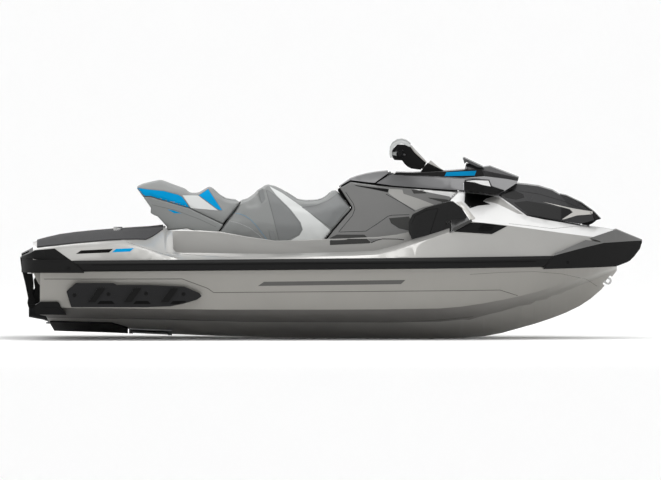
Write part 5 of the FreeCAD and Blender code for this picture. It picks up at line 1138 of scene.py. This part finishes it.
@dataclass
class SeatWorks:
    """Two-part seat with its coloured panels, welts, strap and tail shell."""

    rear_panels: Details = (
        Trim("seat_blue_band", SEAT_BLUE, (
            (136.2, 187), (147.2, 188.6), (163.8, 190.2), (178.4, 194), (182, 196), (186, 201.2),
            (189.8, 207), (170, 201.4), (150.4, 195.2), (144.6, 195.4)), 2.4, 1.2, 10),
        Trim("seat_blue_wing", SEAT_BLUE, (
            (198.8, 194.6), (208.2, 188.4), (222.2, 209.6), (218.2, 209)), 2.4, 1.2, 10),
        Trim("seat_pale_rear", SEAT_LIGHT, (
            (182.5, 194.6), (198, 194.8), (218, 209.6), (191, 207.2), (186.6, 200.6)), 2.4, 1.2, 10))
    front_panels: Details = (
        Trim("seat_dark_panel", SEAT_DARK, (
            (266.2, 189.6), (269.2, 190.4), (275.4, 195.4), (289.6, 209.2), (299.4, 222), (301.6, 228.6),
            (298.6, 233.6), (280.7, 242.6), (278.6, 238), (272.6, 213)), 2.4, 1.2, 10),
        Trim("seat_pale_panel", SEAT_LIGHT, (
            (269.4, 185.8), (282, 192.4), (296.4, 202.4), (305.7, 208.8), (331.2, 230.4), (322.8, 241.6),
            (284, 243.2), (299.4, 234.6), (302.8, 228.8), (300.6, 221.6), (290.6, 208.6),
            (276.4, 194.6)), 2.4, 1.2, 10),
        Trim("seat_front_panel", SEAT_DARK, (
            (302, 206.6), (316, 204.8), (328, 200), (337.2, 193.6), (348.6, 206.6),
            (331.6, 227.8)), 2.4, 1.2, 10))
    stitches: Details = (
        Seam("blue_stitches", THREAD_BLUE, (
            (232.5, 212.2), (239, 212.8), (245, 214.8), (251, 219), (257, 225.6), (263, 233.6),
            (269.6, 242.4)), 1, -0.2),
        Seam("grey_stitches", SEAT_LIGHT, (
            (226, 219.4), (238, 222), (249, 226.6), (259, 234), (266.4, 242)), 0.8, -0.2, dashed=True))
    tail_marks: Details = (
        Trim("tail_flash", BLUE_FILM, (
            (167.6, 208.8), (173, 209.4), (181.4, 212.6), (174, 212.4)), 1.2, 0.5),
        Seam("tail_fold", WELT_GREY, ((152, 204), (176, 209.6), (200, 218.5), (216, 226)), 1.2, 0.4))
    # Dark strips in the gaps between the cushions and the console: painted shade.
    gap_shades: Details = (
        EdgeStrip("seat_face_gasket", SEAM_SHADOW, (
            (338.6, 190, 0.17), (351.6, 206.4, 0.21), (351.3, 209.2, 0.22), (332.6, 230.7, 0.26),
            (324, 241.4, 0.27)), 11),
        EdgeStrip("seat_top_gasket", SEAM_SHADOW, ((339, 188.6, 0.17), (345.6, 198, 0.19)), 17),
        EdgeStrip("seat_join_gasket", SEAM_SHADOW, ((240.9, 201.9, 0.24), (215.6, 235.2, 0.32)), 10))
    fore_top: Trim = Trim("fore_top_insert", SEAT_TOP, (
        (286, -0.13), (298, -0.165), (318, -0.165), (330, -0.12), (330, 0.12), (318, 0.165), (298, 0.165),
        (286, 0.13)), 2.4, 1.2, 10, Look.TOP)
    aft_top: Trim = Trim("aft_top_insert", SEAT_TOP, (
        (212, -0.15), (222, -0.18), (236, -0.18), (236, 0.18), (222, 0.18),
        (212, 0.15)), 2.4, 1.2, 10, Look.TOP)
    fore_quilts: Sequence[int] = (298, 308, 318)
    aft_quilts: Sequence[int] = (222, 229)
    quilt: Pixels = ((0, 0), (2, -0.1), (0, -0.16))

    def build(self) -> None:
        """Makes both cushions and everything sewn or clipped to them."""
        front, rear = Cushion("seat_front").build(), Cushion("seat_rear").build()
        tail = skin(CONSOLE, "seat_tail_shell", [TAIL_SHELL], 6, 26)
        fore, aft = Carrier([front]), Carrier([rear])
        lay(SEAT, aft, *self.rear_panels)
        lay(SEAT, fore, *self.front_panels)
        for carrier, panels in ((fore, self.front_panels), (aft, self.rear_panels)):
            lay(SEAT, carrier, *[Seam(panel.name.replace("seat", "welt"), WELT_GREY, panel.path, 1.3, -0.6,
                                      closed=True) for panel in panels if panel.finish is not SEAT_LIGHT])
        lay(SEAT, fore, *self.stitches)
        lay(CONSOLE, Carrier([tail]), *self.tail_marks)
        lay(SEAT, None, *self.gap_shades)
        self.build_top(fore, self.fore_top, self.fore_quilts)
        self.build_top(aft, self.aft_top, self.aft_quilts)
        skin(Home("craft", "strap_webbing"), "seat_strap", [STRAP_WEB], 1)

    def build_top(self, carrier: Carrier, insert: Trim, quilts: Sequence[int]) -> None:
        """Lays a quilted insert on the top of a cushion, with a welt along its starboard half.

        Args:
            carrier: The cushion's surface.
            insert: The insert.
            quilts: Columns at which its quilting lines start.
        """
        half = insert.path[:len(insert.path) // 2]
        name = insert.name.replace("_insert", "")
        lay(SEAT, carrier, insert, Seam(f"{name}_edge", WELT_GREY, half, 1.3, -0.8, Look.TOP))
        for px in quilts:
            path = tuple((px + shift, share) for shift, share in self.quilt)
            lay(SEAT, carrier, Seam(f"{name}_quilt_{px}", WELT_GREY, path, 1, -0.9, Look.TOP))


@dataclass
class Grip:
    """A ribbed rubber grip with an end cap and an inner flange, in pairs of a place and a radius."""

    length_mm: float = 130.0
    radius_mm: float = 17.5
    core_mm: float = 11.5
    flange_mm: float = 24.0
    ribs: int = 16
    ribs_from_mm: float = 10.0
    plain_mm: float = 26.0
    end_cap: Pixels = ((0, -2.5), (1.5, -0.6), (5, 0), (9, 0))
    rib: Pixels = ((0, -1.4), (0.3, -1.4), (0.4, -0.1), (0.9, -0.1))
    collar: Pixels = ((-12, -1), (-8, 0))
    flange: Pixels = ((-6, -1), (-5, 0), (-1, 0), (0, -1))
    steps: int = 40
    join_mm: float = 0.01
    sharp_angle: float = 50.0
    centre_px: tuple[float, float] = (399.5, 152.8)
    outer_m: float = 0.345

    def profile(self) -> list[tuple[float, float]]:
        """Draws half of the grip's section.

        Returns:
            Places along the bar and radii, in millimetres, from the outer end inwards.
        """
        rows = [(0.0, self.core_mm)] + [(place, self.radius_mm + step) for place, step in self.end_cap]
        span = (self.length_mm - self.plain_mm) / self.ribs
        for i in range(self.ribs):
            base = self.ribs_from_mm + span * i
            rows += [(base + span * share, self.radius_mm + step) for share, step in self.rib]
        for radius_mm, shape in ((self.radius_mm, self.collar), (self.flange_mm, self.flange)):
            rows += [(self.length_mm + place, radius_mm + step) for place, step in shape]
        return rows + [(self.length_mm, self.core_mm)]

    def build(self) -> None:
        """Spins the profile about the bar and stands in for the plain grips."""
        bm = bmesh.new()
        axis = Look.SIDE.place(*self.centre_px)
        verts = [bm.verts.new(axis + Vector((0.0, -self.outer_m + place * MM, radius * MM)))
                 for place, radius in self.profile()]
        edges = [bm.edges.new(pair) for pair in zip(verts, verts[1:])]
        bmesh.ops.spin(bm, geom=verts + edges, cent=axis, axis=(0, 1, 0), angle=math.tau, steps=self.steps,
                       use_merge=True, use_duplicate=False)
        bmesh.ops.remove_doubles(bm, verts=bm.verts, dist=self.join_mm * MM)
        piece = piece_from("ribbed_grips", mirrored(bm), [GRIP_RUBBER], BAR_GRIPS)
        piece.data.set_sharp_from_angle(angle=math.radians(self.sharp_angle))
        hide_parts("grips")


@dataclass
class SteeringWorks:
    """Handlebar with its neck, grips, palm rests, levers and switch housings."""

    base_slope: float = 0.3
    turning: Sequence[SkinRow] = (
        (BAR_TRIMS, "steering_neck", [TRIM_PLASTIC], 4, 26),
        (Home("handlebar", "silver_moulding"), "neck_cover", [BRIGHT_TRIM], 3, 26),
        (BAR, "handlebar", [BLACK_METAL], 1), (BAR_GRIPS, "palm_rests", [PALM_REST], 2.5, 26))
    base_cover: Rib = Rib("base_cover", BRIGHT_TRIM, (
        (429.8, 161), (430.8, 160.4), (433.6, 162.6), (436.8, 165.4), (440.6, 168.4), (444.4, 170.4),
        (443, 171.4), (437, 168.8), (427.8, 164.4)), 0.001, 0.031)
    bar_px: tuple[float, float] = (399.5, 152.8)
    housing_y_m: float = -0.189
    housing_mm: Point = (42.0, 46.0, 40.0)
    housing_edge_mm: float = 7.0
    lever_mm: float = 95.0
    lever_radius_mm: float = 5.5
    lever_edge_mm: float = 1.5
    lever_edge_angle: float = 40.0
    lever_sides: int = 12
    lever_shift_mm: Point = (22.0, 0.0, -6.0)
    lever_bend_mm: float = 3.5
    lever_taper: float = 0.97
    lever_steps: int = 8

    def build(self) -> None:
        """Makes the steering's fixed and turning pieces."""
        skin(HOOD_COVER, "steering_base", [BRIGHT_TRIM, TRIM_PLASTIC], 3, 26,
             lambda c, n: int(n.z < self.base_slope))
        for row in self.turning:
            skin(*row)
        lay(HOOD_COVER, None, self.base_cover)
        Grip().build()
        centre = Look.SIDE.place(*self.bar_px) + Vector((0, self.housing_y_m, 0))
        self.build_housings(centre)
        self.build_levers(centre + Vector(self.lever_shift_mm) * MM)

    def build_housings(self, centre: Vector) -> None:
        """Makes the switch housings inboard of the grips.

        Args:
            centre: The middle of the starboard housing.
        """
        bm = bmesh.new()
        block = bmesh.ops.create_cube(bm, size=1.0, matrix=Matrix.Translation(centre)
                                      @ Matrix.Diagonal((*[s * MM for s in self.housing_mm], 1.0)))
        edges = list({edge for vert in block["verts"] for edge in vert.link_edges})
        bmesh.ops.bevel(bm, geom=edges, offset=self.housing_edge_mm * MM, segments=3, affect="EDGES",
                        profile=0.5, material=-1)
        piece = piece_from("lever_housings_skin", mirrored(bm), [TRIM_PLASTIC], BAR_TRIMS)
        piece.data.set_sharp_from_angle(angle=SHARP_BEND)

    def build_levers(self, start: Vector) -> None:
        """Makes the two finger levers, which taper outwards in front of the grips.

        Args:
            start: The inner end of the starboard lever.
        """
        bm = bmesh.new()
        ring = bmesh.ops.create_circle(bm, cap_ends=True, segments=self.lever_sides,
                                       radius=self.lever_radius_mm * MM)
        bmesh.ops.transform(bm, matrix=Matrix.Translation(start) @ ACROSS, verts=ring["verts"])
        face = ring["verts"][0].link_faces[0]
        for i in range(self.lever_steps):
            bend = math.cos((i + 1) / self.lever_steps * math.pi) * self.lever_bend_mm
            face = raised(bm, face, Vector((bend, -self.lever_mm / self.lever_steps, 0)) * MM)
            bmesh.ops.scale(bm, verts=face.verts[:], vec=(self.lever_taper, 1.0, self.lever_taper),
                            space=Matrix.Translation(-face.calc_center_median()))
        piece = piece_from("finger_levers", mirrored(bm), [BLACK_METAL], BAR)
        soften(piece, self.lever_edge_mm, self.lever_edge_angle)


@dataclass
class JetWorks:
    """Jet pump, nozzle, reverse bucket, impeller and shaft under the stern."""

    castings: Sequence[SkinRow] = (
        (CASTINGS, "pump_housing", [CAST_ALLOY], 1.2, 35),
        (Home("nozzle", "cast_alloy"), "steering_nozzle", [BLACK_CAST], 1.2, 35),
        (CASTINGS, "bucket_brackets", [CAST_ALLOY], 1.2, 35),
        (Home("bucket", "black_trim"), "reverse_bucket", [TRIM_PLASTIC], 2, 35),
        (Home("shaft", "stainless"), "impeller", [STAINLESS], 0.8, 35),
        (Home("shaft", "stainless"), "drive_shaft", [STAINLESS], 0.8, 35))

    def build(self) -> None:
        """Makes the drive's visible castings."""
        for row in self.castings:
            skin(*row)


@dataclass
class Studio:
    """Pale floor, soft lamps, white surround and the camera of the side elevation."""

    elevation: float = 1.3
    camera_m: float = 150.0
    clip_m: float = 400.0
    floor_m: float = 160.0
    floor_drop_m: float = 1.5 * MM
    paper: float = 0.965
    soft_light: float = 0.72
    wash: float = 0.9
    wash_angle: float = 70.0
    wash_tilt: float = 24.0
    lamps: Sequence[tuple[str, Point, Point, float, float]] = (
        ("key_box", (0.8, -4.0, 4.2), (0.2, 0.0, 0.3), 2.6, 60.0),
        ("top_box", (0.0, 0.4, 4.2), (0.0, 0.0, 0.2), 2.4, 60.0),
        ("rim_box", (-2.6, 3.6, 2.6), (0.0, 0.0, 0.4), 2.0, 30.0))

    def build(self) -> None:
        """Sets up the world, the lamps, the floor and the camera."""
        self.build_world()
        for name, place, aim, size, power in self.lamps:
            lamp = self.lamp(name, "AREA", power)
            lamp.data.size = size
            lamp.location = place
            lamp.rotation_euler = (Vector(aim) - Vector(place)).to_track_quat("-Z", "Y").to_euler()
        wash = self.lamp("ceiling_wash", "SUN", self.wash)
        wash.data.angle = math.radians(self.wash_angle)
        wash.rotation_euler = (math.radians(self.wash_tilt), 0.0, 0.0)
        self.build_floor()
        self.build_camera()

    @staticmethod
    def lamp(name: str, kind: str, power: float) -> Object:
        """Adds one lamp to the scene.

        Args:
            name: The lamp's name.
            kind: Blender's type of light.
            power: Its energy.

        Returns:
            The lamp, at the origin.
        """
        data = bpy.data.lights.new(name, kind)
        data.energy = power
        lamp = bpy.data.objects.new(name, data)
        bpy.context.scene.collection.objects.link(lamp)
        return lamp

    def build_world(self) -> None:
        """Makes a white surround for the camera and a soft grey light for the rest."""
        world = bpy.data.worlds.new("studio_surround")
        world.use_nodes = True
        tree = world.node_tree
        tree.nodes.clear()
        path = add_node(tree, "ShaderNodeLightPath")
        soft, white = (add_node(tree, "ShaderNodeBackground", {"Color": (1, 1, 1, 1), "Strength": strength})
                       for strength in (self.soft_light, 1.0))
        mixed = add_node(tree, "ShaderNodeMixShader", {}, {0: path.outputs["Is Camera Ray"],
                                                           1: soft.outputs[0], 2: white.outputs[0]})
        add_node(tree, "ShaderNodeOutputWorld", {}, {"Surface": mixed.outputs[0]})
        bpy.context.scene.world = world

    def build_floor(self) -> None:
        """Makes a wide pale floor at the keel."""
        bm = bmesh.new()
        bmesh.ops.create_grid(bm, x_segments=1, y_segments=1, size=self.floor_m,
                              matrix=Matrix.Translation((0, 0, KEEL_Z - self.floor_drop_m)))
        mesh = bpy.data.meshes.new("studio_floor")
        bm.to_mesh(mesh)
        bm.free()
        floor = bpy.data.objects.new("studio_floor", mesh)
        made = bpy.data.materials.new("studio_paper")
        made.use_nodes = True
        tree = made.node_tree
        tree.nodes.clear()
        paper = add_node(tree, "ShaderNodeBsdfDiffuse", {"Color": (*[self.paper] * 3, 1), "Roughness": 1.0})
        add_node(tree, "ShaderNodeOutputMaterial", {}, {"Surface": paper.outputs[0]})
        mesh.materials.append(made)
        bpy.context.scene.collection.objects.link(floor)

    def build_camera(self) -> None:
        """Sets a long-lens view from the starboard side, a little from above."""
        data = bpy.data.cameras.new("side_camera")
        data.type = "ORTHO"
        data.ortho_scale = FRAME_PX[0] * COLUMN_M
        data.clip_end = self.clip_m
        camera = bpy.data.objects.new("side_camera", data)
        tilt = math.radians(self.elevation)
        target = Look.SIDE.place(FRAME_PX[0] / 2, FRAME_PX[1] / 2)
        back = Vector((0.0, -math.cos(tilt), math.sin(tilt)))
        camera.location = target + back * self.camera_m
        camera.rotation_euler = (-back).to_track_quat("-Z", "Y").to_euler()
        bpy.context.scene.collection.objects.link(camera)
        bpy.context.scene.camera = camera


def corners(bounds: tuple[Vector, Vector]) -> list[list[float]]:
    """A box's two corners as plain lists."""
    return [list(corner) for corner in bounds]


def main() -> None:
    """Builds every sub-assembly, then the studio."""
    logging.basicConfig(level=logging.INFO, format="%(name)s %(message)s")
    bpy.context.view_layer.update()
    bpy.context.scene.view_settings.view_transform = "Standard"
    for kind in (HullWorks, DeckWorks, CowlWorks, HoodWorks, SeatWorks, SteeringWorks, JetWorks):
        kind().build()
        LOG.info("%s done", kind.__name__)
    Studio().build()


if __name__ == "__main__":
    main()
